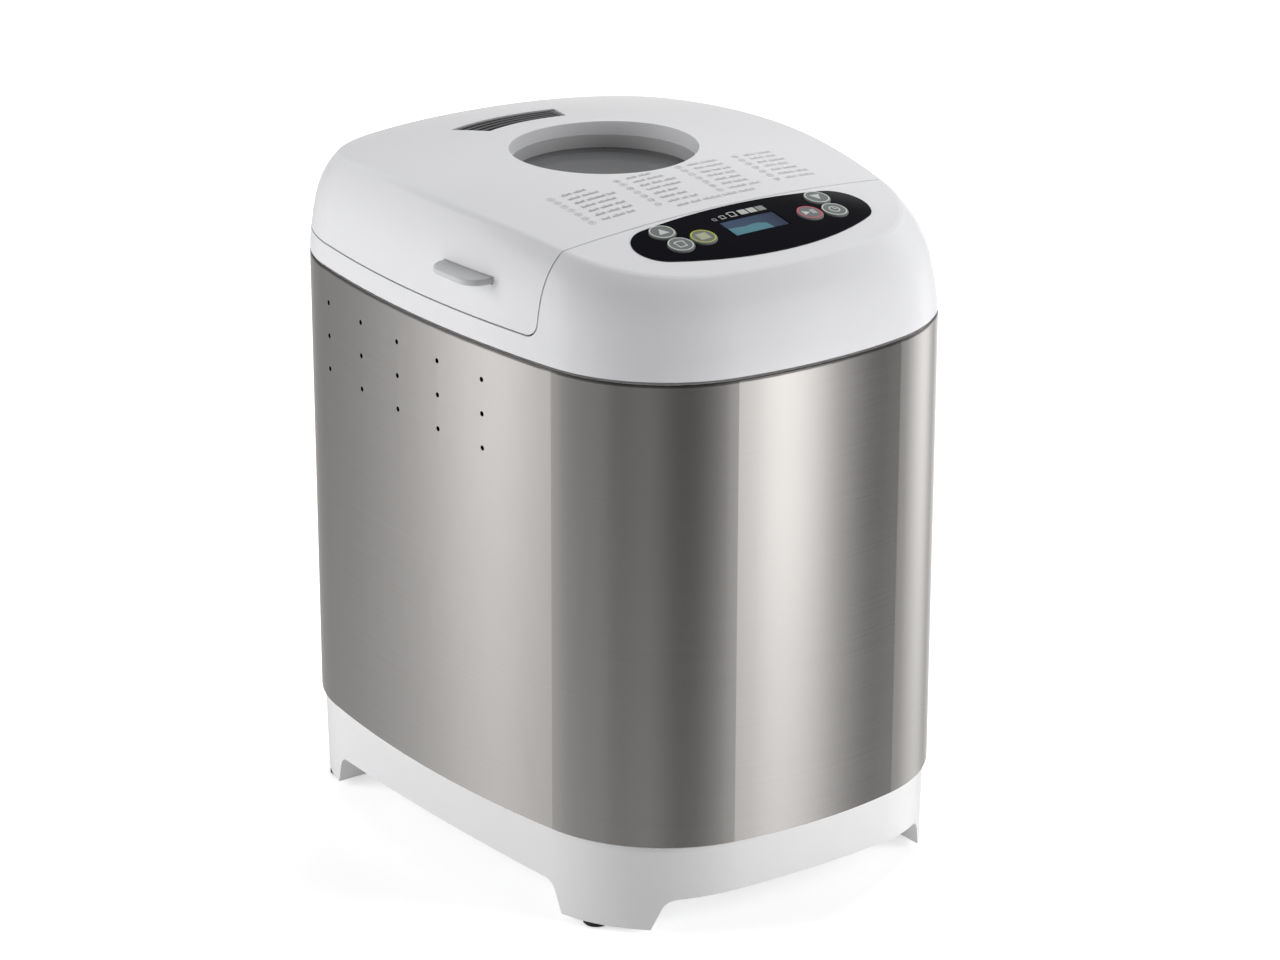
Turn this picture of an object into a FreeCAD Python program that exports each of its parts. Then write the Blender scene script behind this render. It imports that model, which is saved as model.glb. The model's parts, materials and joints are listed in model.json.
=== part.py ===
# Bread machine: domed lid hinged at the back, control panel at the front, steel wrap,
# heated chamber with a lift-out pan, kneading paddle driven from below by a belt.
# Millimetres. +Z up, the control panel faces -Y, the lid hinge is at +Y.
# Origin: centre of the footprint, on the surface that the rubber feet stand on.
import FreeCAD, Part
import math
import os

V = FreeCAD.Vector
Z_AXIS = V(0, 0, 1)

# --- driving dimensions -------------------------------------------------------------
# heights, from the ground up
foot_pad_height = 2.4         # rubber showing under the white feet
arch_height = 14.6            # opening between two feet, at its ends, above their undersides
arch_bow = 3.3                # the opening is this much higher in its middle
base_wall = 2.5
steel_bottom_z = 43.6
steel_height = 216.4
collar_height = 10.6          # from the steel's top edge to the seam
bend_height = 44.3            # above the steel, where the skirt turns inwards
crown_height = 58.3           # above the steel, highest point of the dome
crown_plan_height = 65.0      # above the steel, where the skirt would run out
cut_over = 1.0                # how far a cut runs on past a face
dome_margin = 20.0            # how far a large cut runs on past the body
edge_tolerance = 0.01

# plan of the steel wrap at its top edge: four long arcs joined by four corner arcs
body_half_width = 108.2
body_half_depth = 151.6
body_side_bow = 20.2          # how far each side bows out over its length
body_end_bow = 26.0
body_corner_radius = 70.9
wrap_taper_width = 0.2        # the wrap narrows this much towards the base, each side
wrap_taper_depth = 1.2

# plan of the skirt where it would run out
crown_draw_width = 19.0       # drawn in from the body's plan, each side
crown_draw_depth = 56.3
crown_side_bow = 46.0
crown_end_bow = 28.8
crown_corner_radius = 51.7
crown_shift = 10.4            # the crown plan sits this far back
bend_softness = 17.9
skirt_shares = [0.0, 0.1745, 0.3458, 0.486, 0.6106, 0.7196, 0.8287, 1.0]
dome_radius_along = 573.0
dome_radius_across = 872.0
crown_y = 3.9
crease_radius = 5.0           # soft edge between skirt and dome

shell_wall = 2.8
skirt_gap = 0.8               # shadow line between steel edge and white collar
seam_gap = 0.8                # lid to housing
seam_from_front = 72.1        # lid's front edge behind the body's front
seam_corner_radius = 7.0
deck_drop = 4.6               # deck round the chamber's mouth, below the seam
deck_thickness = 2.6

# steel wrap
sheet = 0.8
wrap_roll_radius = 1.8
wrap_flange = 6.0
vent_hole_radius = 1.2
vent_rows = 3
vent_columns = 5
vent_first_below_top = 16.3
vent_row_pitch = 15.9
vent_column_pitch = 32.0
vent_first_column_y = -44.0

# ledges and lips that hold the wrap at its two ends
lip_fit = 0.5
lip_thickness = 2.2
lip_height = 7.0
ledge_past_flange = 3.0
ledge_set_back = 1.0

# base
base_inset = 1.3              # base skin behind the wrap's skin
base_draft = 0.7              # base narrows this much down to the feet
side_arch_inset = 17.5        # ends of the side openings, inwards of the pads
end_arch_inset = 16.7
arch_soft_radius = 7.0
arch_spread = 5.5             # the openings widen this much downwards, each end
foot_pad_radius = 6.0
foot_pad_soft = 0.8
foot_side_inset = 20.0        # pads inwards of the body's widest plan
foot_end_inset = 49.1
foot_stem_radius = 2.5
foot_stem_grip = 0.5
louvre_width = 3.0
louvre_length = 36.0
louvre_pitch = 12.0
louvre_count = 5

# screws
screw_radius = 1.4
screw_length = 12.0
screw_head_radius = 3.0
screw_head_height = 1.8
screw_clearance = 0.2
screw_hole_extra = 2.0        # blind hole beyond the screw's end

# window in the lid
window_y = 10.9
window_radius = 43.0
window_wall_depth = 7.0
window_ring_depth = 6.0
window_ring_lip = 0.6         # ring's edge inwards of the wall
window_glass_overlap = 1.2
window_glass_thickness = 3.0

# steam vent, concentric with the window
vent_inner_radius = 62.5
vent_outer_radius = 84.5
vent_half_angle = 20.2
vent_slots = 4
vent_rib = 2.0
vent_fit = 0.15
vent_recess = 0.6             # grille below the dome
vent_grille_thickness = 2.4
vent_duct_wall = 1.4
vent_sleeve_wall = 1.6
vent_sleeve_drop = 4.0

# finger tabs on the lid's skirt
tab_y = -32.0
tab_length = 34.0
tab_overhang = 7.3            # past the body's widest plan
tab_height = 28.0             # above the steel
tab_thickness = 3.0
tab_corner_radius = 9.0
tab_edge_radius = 0.9
tab_lug_thickness = 2.0       # plate behind the skirt
tab_lug_margin = 3.0

# lid hinge
hinge_inset = 4.2             # axis inwards of the body's back
hinge_rise = 1.6              # axis above the seam
hinge_knuckle_radius = 4.0
hinge_pin_radius = 1.25
hinge_pin_spare = 0.5
hinge_ear_inner = 30.0
hinge_ear_width = 6.0
hinge_knuckle_width = 8.0
hinge_side_gap = 0.6
hinge_notch_spare = 2.4
hinge_root_height = 8.0

# tray that lines the lid
liner_side_spare = 4.0        # past the chamber's mouth
liner_end_spare = 1.0
liner_corner_spare = 11.0
liner_rise = 2.0              # its rim above the seam
liner_press_radius = 9.0
liner_post_side = 7.0         # posts outwards of the tray
liner_post_front = 23.0       # posts inwards of the tray's two ends
liner_post_back = 35.0
liner_post_radius = 3.5
liner_ear_margin = 2.0
liner_window_lip = 3.0
steam_hole_radius = 1.8
steam_hole_step = 5.2         # degrees
steam_hole_rows = (5.0, 12.0)
steam_hole_count = 7

# control panel
panel_below_seam = 1.1
panel_depth = 43.7
panel_top_radius = 437.0
panel_bottom_radius = 121.0
panel_end_radius = 15.0
panel_thickness = 1.6
panel_proud = 0.3
panel_fit = 0.2
display_width = 30.0
display_height = 13.6
display_drop = 19.4           # display's middle below the panel's top edge
display_fit = 0.1
display_frame_fit = 0.5
display_thickness = 3.2
display_recess = 0.2
lcd_margin = 3.0
lcd_thickness = 3.0
lcd_header_width = 3.0
button_radius = 6.1
button_gap = 0.35
button_proud = 1.0
button_travel = 0.8
button_depth = 4.6
button_edge_radius = 0.6
button_stem_radius = 2.0
button_stem_gap = 0.2
button_places = {             # from the display's middle
    "button_up": (-42.6, 10.0),
    "button_loaf_size": (-42.2, -3.0),
    "button_crust": (-29.2, -1.8),
    "button_down": (42.6, 10.0),
    "button_menu": (42.2, -3.0),
    "button_start_stop": (29.2, -1.8),
}
board_drop = 12.0             # control board below the panel's skin
board_thickness = 1.6
board_length = 108.0
board_width = 30.0
board_centre = -1.0           # board's middle below the display's middle
board_post_radius = 3.0
board_post_edge = 3.5         # posts inwards of the board's long edges
board_post_end = 4.0
board_post_beside = 7.0       # upper posts past the display's ends
switch_half = 3.0
switch_height = 3.5
plunger_radius = 1.6
plunger_height = 1.0

# oven chamber
chamber_side_room = 28.2      # its wall inwards of the body's widest plan
chamber_back_room = 33.6
chamber_front_room = 9.5      # its wall behind the seam
chamber_corner_radius = 22.0
chamber_flange = 7.0
standoff_height = 32.5        # chassis to chamber
standoff_radius = 4.0
standoff_bore = 1.6
standoff_side = 18.0          # inwards of the chamber's walls
standoff_end = 22.0

# bread pan
pan_room = 14.0               # all round, to the chamber's wall
pan_corner_radius = 22.0
pan_draft = 4.0
pan_wall = 1.6
pan_rim = 2.5
pan_rim_height = 2.6
pan_rim_radius = 1.2
pan_base_radius = 8.0
pan_below_deck = 21.4
pan_height = 138.0
pan_bottom_bore = 8.0
pan_ear_half = 8.0
pan_ear_past_rim = 2.0
pan_ear_above = 4.0           # above and below the handle's pivot
pan_ear_below = 8.0
pan_ear_root = 3.0
pan_foot_radius = 38.0
pan_foot_wall = 3.0
pan_foot_hub = 20.0
pan_foot_web = 1.5
seat_gap = 0.3

# bearing in the pan's bottom
bearing_flange_radius = 16.0
bearing_flange_height = 3.0
bearing_nut_radius = 12.0
bearing_nut_height = 4.5
bearing_nut_chamfer = 1.5

# leaf springs that grip the pan's foot
clip_gap = 0.4
clip_sheet = 1.0
clip_half = 7.0
clip_height = 15.0
clip_foot = 12.0
clip_lip = 3.0

# pan's carrying handle
bail_wire_radius = 2.0
bail_reach = 56.0
bail_corner_radius = 12.0
bail_pivot_drop = 7.0
bail_leg_gap = 1.2
bail_tip = 6.0
bail_tight_bend = 3.0

# kneading parts
drive_shaft_radius = 4.0
shaft_flat = 2.6              # flat on the pan's shaft, from its axis
running_gap = 0.05
bush_wall = 3.0
bush_length = 9.0
bush_set_up = 0.5
housing_wall = 4.0
housing_foot_radius = 24.0
housing_foot_height = 3.0
housing_shelf_radius = 20.0
housing_shelf_height = 2.5
housing_step = 2.0
housing_proud = 1.2
coupling_rise = 4.0           # above the chamber's floor
coupling_hub_height = 7.0
coupling_skirt = 1.5
coupling_radius = 11.0
coupling_post_radius = 2.5
coupling_post_offset = 7.5
coupling_post_short = 1.8     # post ends below the wing's top
shaft_engagement = 6.0
wing_rise = 8.5               # above the coupling
wing_height = 6.0
wing_half_length = 9.5
wing_half_width = 2.5
shaft_collar_radius = 6.5
shaft_collar_gap = 0.2
paddle_rise = 5.0             # above the pan's bottom
paddle_hub_radius = 9.0
paddle_hub_drop = 6.0
paddle_hub_chamfer = 2.0
paddle_hub_draft = 1.5
paddle_cap = 3.0
paddle_length = 42.0
paddle_height = 26.0
paddle_thickness = 5.0
paddle_sweep = 9.0
paddle_belly = 1.8
paddle_tip = 2.0
paddle_root = 6.0
shaft_below_paddle_top = 10.0

# heater
element_tube_radius = 3.2
element_rise = 13.2           # above the chamber's floor
element_room = 14.0           # to the chamber's wall
element_bend_radius = 16.0
element_exit_first = 18.0     # behind the front run
element_exit_second = 42.0
element_tail = 15.0
element_bush_wall = 1.6
element_bush_flange = 2.0
element_bush_thickness = 3.0
element_bush_inside = 2.0
element_clip_half = 6.0
element_clip_sheet = 1.0
element_clip_foot = 9.0
element_clip_top = 3.0

# temperature sensor and fuse on the chamber's front wall
sensor_side = 30.0            # inwards of the chamber's side wall
sensor_rise = 34.0
sensor_radius = 2.5
sensor_inside = 8.0
sensor_outside = 12.0
sensor_flange_radius = 6.0
sensor_flange_thickness = 1.5
sensor_hole_fit = 0.1
fuse_radius = 2.4
fuse_half_length = 8.0
fuse_above_sensor = 40.0
fuse_saddle_half = 5.0
fuse_saddle_height = 3.0

# chassis and drive
pulley_rise = 1.2             # above the base's floor
pulley_height = 12.0
pulley_flange = 2.5
pulley_lip = 1.5
pulley_lip_slope = 0.5
pulley_rim = 4.0
pulley_web = 5.5
pulley_hub_rise = 3.0
pulley_hole_count = 5
small_pulley_radius = 8.0
small_pulley_hub = 8.0
large_pulley_radius = 48.0
large_pulley_hub = 12.0
belt_width = 7.4
belt_thickness = 2.0
belt_gap = 0.3
chassis_rise = 8.0            # above the pulleys
chassis_thickness = 1.5
chassis_side_room = 38.2      # inwards of the body's widest plan
chassis_front_room = 37.6
chassis_back_room = 41.6
chassis_corner_radius = 20.0
chassis_boss_radius = 5.0
chassis_boss_side = 10.0      # inwards of the plate's edges
chassis_boss_front = 16.0
chassis_boss_back = 30.0
chassis_tongue_half = 36.0
chassis_tongue_reach = 30.0   # ahead of the motor's axis
chassis_tongue_back = 14.0
chassis_tongue_radius = 8.0
chassis_shaft_hole = 13.0
chassis_slot_half_x = 16.0
chassis_slot_half_y = 12.0
chassis_slot_radius = 5.0
chassis_slot_x = 44.0
chassis_slot_y = -30.0

# motor
motor_gap = 2.7               # stack to the chamber's front wall
motor_half = 32.0
motor_corner_radius = 10.0
motor_stack = 26.0
motor_stack_rise = 16.5       # above the chassis
motor_top_cover = 16.0
motor_cover_wall = 2.0
motor_cover_inset = 1.0
motor_cover_boss = 9.0
motor_boss_length = 8.0
motor_slot_half = 12.0
motor_slot_height = 5.0
motor_slot_reach = 4.0
motor_air_gap = 0.5
rotor_radius = 16.0
rotor_overhang = 1.0
motor_shaft_radius = 4.0
motor_shaft_top = 12.0        # above the upper cover
motor_bolt_offset = 25.0
motor_bolt_radius = 2.0
motor_bolt_fit = 0.1
motor_bolt_head = 3.6
motor_bolt_head_height = 1.8
motor_nut_height = 3.0
winding_inside = 3.0          # outwards of the rotor
winding_outside = 6.0         # inwards of the stack's faces
winding_height = 9.0
winding_chamfer = 1.5
fan_rise = 2.0                # above the upper cover
fan_hub_radius = 8.0
fan_hub_height = 8.0
fan_disc_radius = 16.0
fan_disc_thickness = 1.2
fan_blade_reach = 25.0
fan_blade_root = 6.5
fan_blade_height = 7.5
fan_blade_thickness = 1.4
fan_blade_count = 7

# power electronics
power_board_beside_motor = 18.0
power_board_front = 38.0      # ahead of the chamber's front wall
power_board_back = 10.0
power_board_height = 104.5
power_board_foot = 8.0
power_board_foot_half = 3.0
power_board_foot_inset = 7.0
transformer_rise = 6.5
transformer_height = 26.0
transformer_depth = 20.0
transformer_inset = 2.0
coil_margin = 4.0
coil_inset = 3.0
relay_rise = 38.5
relay_height = 16.0
relay_pitch = 22.0
relay_depth = 15.0
relay_inset_front = 4.0
relay_inset_back = 5.0
relay_count = 2
capacitor_beside_motor = 18.0
capacitor_gap = 3.2           # to the chamber's wall
capacitor_radius = 11.0
capacitor_height = 48.0
capacitor_edge = 1.5
capacitor_terminal_half = 3.0
capacitor_terminal_sheet = 0.8
capacitor_terminal_height = 7.0
capacitor_terminal_offset = 4.0

# cord entry, at the back of the base
cord_entry_x = 45.0
cord_entry_rise = 9.2         # above the base's floor
cord_entry_radius = 6.0
cord_bore_radius = 3.4
cord_flange_margin = 2.5
cord_flange_proud = 2.8
cord_bush_inside = 8.0

# --- levels and places that follow from them -------------------------------------------
arch_top = foot_pad_height + arch_height
base_floor_top = arch_top + arch_bow + base_wall
steel_top_z = steel_bottom_z + steel_height
seam_z = steel_top_z + collar_height
bend_z = steel_top_z + bend_height
crown_z = steel_top_z + crown_height
crown_plan_z = steel_top_z + crown_plan_height
crown_half_width = body_half_width - crown_draw_width
crown_half_depth = body_half_depth - crown_draw_depth
seam_y = seam_from_front - body_half_depth
deck_z = seam_z - deck_drop
deck_bottom = deck_z - deck_thickness
tab_reach = body_half_width + tab_overhang
tab_z = steel_top_z + tab_height
hinge_y = body_half_depth - hinge_inset
hinge_z = seam_z + hinge_rise
hinge_clear = hinge_knuckle_radius + hinge_side_gap
hinge_knuckle_start = hinge_ear_inner + hinge_ear_width + hinge_side_gap
hinge_notch_half = hinge_knuckle_start + hinge_knuckle_width + hinge_notch_spare
panel_top_y = seam_y - panel_below_seam
panel_bottom_y = panel_top_y - panel_depth
display_y = panel_top_y - display_drop

foot_pad_x = body_half_width - foot_side_inset
foot_pad_y = body_half_depth - foot_end_inset
foot_places = [(sx * foot_pad_x, sy * foot_pad_y) for sx in (-1, 1) for sy in (-1, 1)]
pulley_z = base_floor_top + pulley_rise
chassis_z = pulley_z + pulley_height + chassis_rise
chassis_top = chassis_z + chassis_thickness
cord_entry_z = base_floor_top + cord_entry_rise

chamber_floor_z = chassis_top + standoff_height
chamber_floor_top = chamber_floor_z + sheet
chamber_front = seam_y + chamber_front_room
chamber_back = body_half_depth - chamber_back_room
chamber_y = (chamber_front + chamber_back) / 2
chamber_half_length = (chamber_back - chamber_front) / 2
chamber_half_width = body_half_width - chamber_side_room
chamber_skin_front = chamber_front - sheet

pan_half_width = chamber_half_width - pan_room
pan_half_length = chamber_half_length - pan_room
pan_rim_z = deck_bottom - pan_below_deck
pan_bottom_z = pan_rim_z - pan_height
pan_pivot_z = pan_rim_z - bail_pivot_drop
pan_ear_y = pan_half_length + pan_rim + pan_ear_past_rim
bail_leg_y = pan_ear_y + bail_leg_gap + bail_wire_radius

coupling_z = chamber_floor_top + coupling_rise
wing_z = coupling_z + wing_rise
paddle_z = pan_bottom_z + pan_wall + paddle_rise
bush_radius = drive_shaft_radius + bush_wall
housing_radius = bush_radius + housing_wall
housing_top = chamber_floor_top + housing_proud
bush_levels = (chassis_top + bush_set_up, housing_top - bush_length)

element_z = chamber_floor_top + element_rise
element_half_width = chamber_half_width - element_room
element_half_length = chamber_half_length - element_room
element_front = chamber_y - element_half_length
element_exits = (element_front + element_exit_first, element_front + element_exit_second)
element_bush_radius = element_tube_radius + element_bush_wall
sensor_x = chamber_half_width - sensor_side
sensor_z = chamber_floor_z + sensor_rise

motor_y = chamber_skin_front - motor_gap - motor_half
motor_stack_z = chassis_top + motor_stack_rise
stack_top = motor_stack_z + motor_stack
motor_top = stack_top + motor_top_cover
motor_bolt_places = [(sx * motor_bolt_offset, motor_y + sy * motor_bolt_offset)
                     for sx in (-1, 1) for sy in (-1, 1)]
power_board_x = -motor_half - power_board_beside_motor
power_board_y0 = chamber_front - power_board_front
power_board_y1 = chamber_front - power_board_back
capacitor_x = motor_half + capacitor_beside_motor
capacitor_y = chamber_skin_front - capacitor_gap - capacitor_radius

chassis_half_width = body_half_width - chassis_side_room
chassis_front = chassis_front_room - body_half_depth
chassis_back = body_half_depth - chassis_back_room
chassis_boss_places = [(sx * (chassis_half_width - chassis_boss_side), y) for sx in (-1, 1)
                       for y in (chassis_front + chassis_boss_front, chassis_back - chassis_boss_back)]
standoff_places = [(sx * (chamber_half_width - standoff_side),
                    chamber_y + sy * (chamber_half_length - standoff_end))
                   for sx in (-1, 1) for sy in (-1, 1)]
board_post_places = [(sx * x, board_centre + y) for sx in (-1, 1)
                     for x, y in ((display_width / 2 + board_post_beside, board_width / 2 - board_post_edge),
                                  (board_length / 2 - board_post_end, board_post_edge - board_width / 2))]


# --- shape helpers ------------------------------------------------------------------
def box(x0, x1, y0, y1, z0, z1):
    return Part.makeBox(x1 - x0, y1 - y0, z1 - z0, V(x0, y0, z0))


def rod(radius, x, y, z0, z1):
    return Part.makeCylinder(radius, z1 - z0, V(x, y, z0), Z_AXIS)


def tube(outer, inner, x, y, z0, z1):
    return rod(outer, x, y, z0, z1).cut(rod(inner, x, y, z0, z1))


def cross_rod(radius, x0, x1, y, z):
    return Part.makeCylinder(radius, x1 - x0, V(x0, y, z), V(1, 0, 0))


def along_rod(radius, x, y0, y1, z):
    return Part.makeCylinder(radius, y1 - y0, V(x, y0, z), V(0, 1, 0))


def turned(profile, x, y):
    # profile: (radius, z) points of a closed outline, turned about a vertical axis
    points = [V(x + r, y, z) for r, z in profile]
    face = Part.Face(Part.makePolygon(points + points[:1]))
    return face.revolve(V(x, y, 0), Z_AXIS, 360)


def joined(shapes):
    first = shapes[0]
    return first.multiFuse(shapes[1:]).removeSplitter() if len(shapes) > 1 else first


def arc_through(a, middle, b):
    return Part.Arc(a, middle, b).toShape()


def arc_about(centre, radius, start, end):
    # shorter arc between two points of the circle
    half = (start + end) * 0.5 - centre
    return arc_through(start, centre + half * (radius / half.Length), end)


def meeting_point(centre_a, radius_a, centre_b, radius_b, near):
    # where two circles cross, the crossing nearer to a given point
    span = centre_b - centre_a
    distance = span.Length
    unit = span * (1.0 / distance)
    along = (radius_a ** 2 - radius_b ** 2 + distance ** 2) / (2 * distance)
    off = math.sqrt(max(radius_a ** 2 - along ** 2, 0.0))
    side = V(-unit.y, unit.x, 0) * off
    foot = centre_a + unit * along
    crossings = (foot + side, foot - side)
    return min(crossings, key=lambda point: (point - near).Length)


def bow_radius(half_chord, bow):
    return (half_chord ** 2 + bow ** 2) / (2 * bow)


def bowed_outline(half_width, half_depth, side_bow, end_bow, corner_radius, y_mid, z, inset=0.0):
    # four long arcs and four corner arcs, all tangent, inset by a parallel distance
    side_radius = bow_radius(half_depth, side_bow)
    end_radius = bow_radius(half_width, end_bow)
    side_centre = V(half_width - side_radius, y_mid, z)
    end_centre = V(0, y_mid - half_depth + end_radius, z)
    corner = meeting_point(side_centre, side_radius - corner_radius,
                           end_centre, end_radius - corner_radius,
                           V(half_width, y_mid - half_depth, z))
    to_side = (corner - side_centre).normalize()
    to_end = (corner - end_centre).normalize()
    side_point = side_centre + to_side * (side_radius - inset)
    end_point = end_centre + to_end * (end_radius - inset)

    def mirrored(point, sx, sy):
        return V(sx * point.x, y_mid + sy * (point.y - y_mid), z)

    end_middle = V(0, y_mid - half_depth + inset, z)
    side_middle = V(half_width - inset, y_mid, z)
    edges = []
    # counter-clockwise from the front arc
    edges.append(arc_through(mirrored(end_point, -1, 1), end_middle, end_point))
    edges.append(arc_about(corner, corner_radius - inset, end_point, side_point))
    edges.append(arc_through(side_point, side_middle, mirrored(side_point, 1, -1)))
    edges.append(arc_about(mirrored(corner, 1, -1), corner_radius - inset,
                           mirrored(side_point, 1, -1), mirrored(end_point, 1, -1)))
    edges.append(arc_through(mirrored(end_point, 1, -1), mirrored(end_middle, 1, -1),
                             mirrored(end_point, -1, -1)))
    edges.append(arc_about(mirrored(corner, -1, -1), corner_radius - inset,
                           mirrored(end_point, -1, -1), mirrored(side_point, -1, -1)))
    edges.append(arc_through(mirrored(side_point, -1, -1), mirrored(side_middle, -1, 1),
                             mirrored(side_point, -1, 1)))
    edges.append(arc_about(mirrored(corner, -1, 1), corner_radius - inset,
                           mirrored(side_point, -1, 1), mirrored(end_point, -1, 1)))
    return Part.Wire(edges)


def rounded_rectangle(half_x, half_y, radius, x, y, z):
    edges = []
    centres = [(1, 1), (-1, 1), (-1, -1), (1, -1)]
    starts = []
    ends = []
    for sx, sy in centres:
        centre = V(x + sx * (half_x - radius), y + sy * (half_y - radius), z)
        on_x = centre + V(sx * radius, 0, 0)
        on_y = centre + V(0, sy * radius, 0)
        start, end = (on_x, on_y) if sx * sy > 0 else (on_y, on_x)
        starts.append(start)
        ends.append(end)
        edges.append(arc_about(centre, radius, start, end))
    sides = [Part.LineSegment(ends[i], starts[(i + 1) % 4]).toShape() for i in range(4)]
    return Part.Wire([edge for pair in zip(edges, sides) for edge in pair])


def plate(wire, height):
    return Part.Face(wire).extrude(V(0, 0, height))


def round_block(half_x, half_y, radius, x, y, z0, z1):
    return plate(rounded_rectangle(half_x, half_y, radius, x, y, z0), z1 - z0)


def swept_tube(path_edges, radius):
    path = Part.Wire(path_edges)
    start = path_edges[0]
    circle = Part.Circle(start.Vertexes[0].Point, start.tangentAt(start.FirstParameter), radius)
    section = Part.Wire(circle.toShape())
    return path.makePipeShell([section], True, False)


def bent_path(points, radii):
    # straight runs between points, each turn rounded by a tangent arc of its own radius
    edges = []
    previous = points[0]
    for before, corner, after, radius in zip(points, points[1:], points[2:], radii):
        inward = (before - corner).normalize()
        outward = (after - corner).normalize()
        turn = math.pi - inward.getAngle(outward)
        back = radius * math.tan(turn / 2)
        start = corner + inward * back
        end = corner + outward * back
        middle_way = (inward + outward).normalize()
        centre = corner + middle_way * (radius / math.cos(turn / 2))
        edges.append(Part.LineSegment(previous, start).toShape())
        edges.append(arc_about(centre, radius, start, end))
        previous = end
    edges.append(Part.LineSegment(previous, points[-1]).toShape())
    return edges


# --- forms shared by several pieces ---------------------------------------------------
def wrap_outline(z, inset):
    # plan of the wrap at a height between the base and the collar
    share = (steel_top_z - z) / (steel_top_z - steel_bottom_z)
    return bowed_outline(body_half_width - wrap_taper_width * share,
                         body_half_depth - wrap_taper_depth * share,
                         body_side_bow, body_end_bow, body_corner_radius, 0.0, z, inset)


def bend(z):
    # rises from nought to a straight slope round bend_z
    above = z - bend_z
    return 0.5 * (above + math.hypot(above, bend_softness))


def skirt_outline(z, inset):
    # plan of the white skirt: the body's plan below, drawn in towards the crown's plan
    lean = (bend(z) - bend(steel_top_z)) / (bend(crown_plan_z) - bend(steel_top_z))

    def between(low, high):
        return low + (high - low) * lean

    return bowed_outline(between(body_half_width, crown_half_width),
                         between(body_half_depth, crown_half_depth),
                         between(body_side_bow, crown_side_bow),
                         between(body_end_bow, crown_end_bow),
                         between(body_corner_radius, crown_corner_radius),
                         between(0.0, crown_shift), z, inset)


def dome_height(x, y):
    across = dome_radius_across - math.sqrt(dome_radius_across ** 2 - x ** 2)
    along = math.sqrt((dome_radius_along - across) ** 2 - (y - crown_y) ** 2)
    return crown_z - dome_radius_along + along


def under_dome(raise_by=0.0):
    # barrel-shaped solid below the dome: a shallow arc turned about a low cross axis
    reach = body_half_width + dome_margin
    top = crown_z + raise_by
    low = top - 2 * crown_height
    edge_z = top - dome_radius_across + math.sqrt(dome_radius_across ** 2 - reach ** 2)
    left = V(-reach, crown_y, edge_z)
    right = V(reach, crown_y, edge_z)
    arc = arc_through(left, V(0, crown_y, top), right)
    rest = Part.makePolygon([right, V(reach, crown_y, low), V(-reach, crown_y, low), left])
    face = Part.Face(Part.Wire([arc] + rest.Edges))
    axis = V(0, crown_y, crown_z - dome_radius_along)
    half_sweep = math.degrees(math.asin((body_half_depth + dome_margin) / dome_radius_along))
    start = face.copy()
    start.rotate(axis, V(1, 0, 0), -half_sweep)
    return start.revolve(axis, V(1, 0, 0), 2 * half_sweep)


def upper_form(inset, lower_by, soft_radius):
    # skirt and dome as one solid: lofted skirt closed off by the dome
    first = steel_top_z + skirt_gap
    levels = [first + (crown_plan_z - first) * share for share in skirt_shares]
    skirt = Part.makeLoft([skirt_outline(z, inset) for z in levels], True, False)
    form = skirt.common(under_dome(-lower_by))
    if soft_radius > 0:
        top_face = max(form.Faces, key=lambda face: face.CenterOfMass.z)
        form = form.makeFillet(soft_radius, top_face.OuterWire.Edges)
    return form


def seam_block(gap):
    # everything behind the seam plane and above the collar: the lid's side of the split
    radius = seam_corner_radius - gap
    front = seam_y + gap
    low = seam_z + gap
    far = body_half_depth + dome_margin
    high = crown_plan_z + dome_margin
    x = -body_half_width - dome_margin
    turn = V(x, front + radius, low + radius)
    corner = arc_about(turn, radius, V(x, front, low + radius), V(x, front + radius, low))
    rest = Part.makePolygon([V(x, front + radius, low), V(x, far, low), V(x, far, high),
                             V(x, front, high), V(x, front, low + radius)])
    face = Part.Face(Part.Wire([corner] + rest.Edges))
    return face.extrude(V(-2 * x, 0, 0))


def room(front=None, low=None, high=None):
    # block wider than the machine, bounded where a limit is given
    reach = 2 * body_half_depth
    return box(-reach, reach, -reach if front is None else front, reach,
               0.0 if low is None else low, crown_plan_z + reach if high is None else high)


def lens_outline(grow, z):
    # control panel plan: two long arcs closed by two small end arcs
    top_centre = V(0, panel_top_y - panel_top_radius, z)
    low_centre = V(0, panel_bottom_y + panel_bottom_radius, z)
    end_radius = panel_end_radius + grow
    end = meeting_point(top_centre, panel_top_radius - panel_end_radius,
                        low_centre, panel_bottom_radius - panel_end_radius,
                        V(body_half_width, panel_bottom_y, z))
    to_top = (end - top_centre).normalize()
    to_low = (end - low_centre).normalize()
    top_right = end + to_top * end_radius
    low_right = end + to_low * end_radius
    top_left = V(-top_right.x, top_right.y, z)
    low_left = V(-low_right.x, low_right.y, z)
    tip = V(end.x + end_radius, end.y, z)
    tip_left = V(-tip.x, tip.y, z)
    return Part.Wire([
        arc_through(top_left, V(0, panel_top_y + grow, z), top_right),
        arc_through(top_right, tip, low_right),
        arc_through(low_right, V(0, panel_bottom_y - grow, z), low_left),
        arc_through(low_left, tip_left, top_left),
    ])


def ring_sector(inner, outer, half_angle, z0, z1):
    # part of a ring about the window's axis, facing the back of the lid
    centre = V(0, window_y, z0)

    def at(radius, degrees):
        angle = math.radians(90 + degrees)
        return centre + V(radius * math.cos(angle), radius * math.sin(angle), 0)

    edges = [
        arc_through(at(outer, -half_angle), at(outer, 0), at(outer, half_angle)),
        Part.LineSegment(at(outer, half_angle), at(inner, half_angle)).toShape(),
        arc_through(at(inner, half_angle), at(inner, 0), at(inner, -half_angle)),
        Part.LineSegment(at(inner, -half_angle), at(outer, -half_angle)).toShape(),
    ]
    return plate(Part.Wire(edges), z1 - z0)


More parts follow.
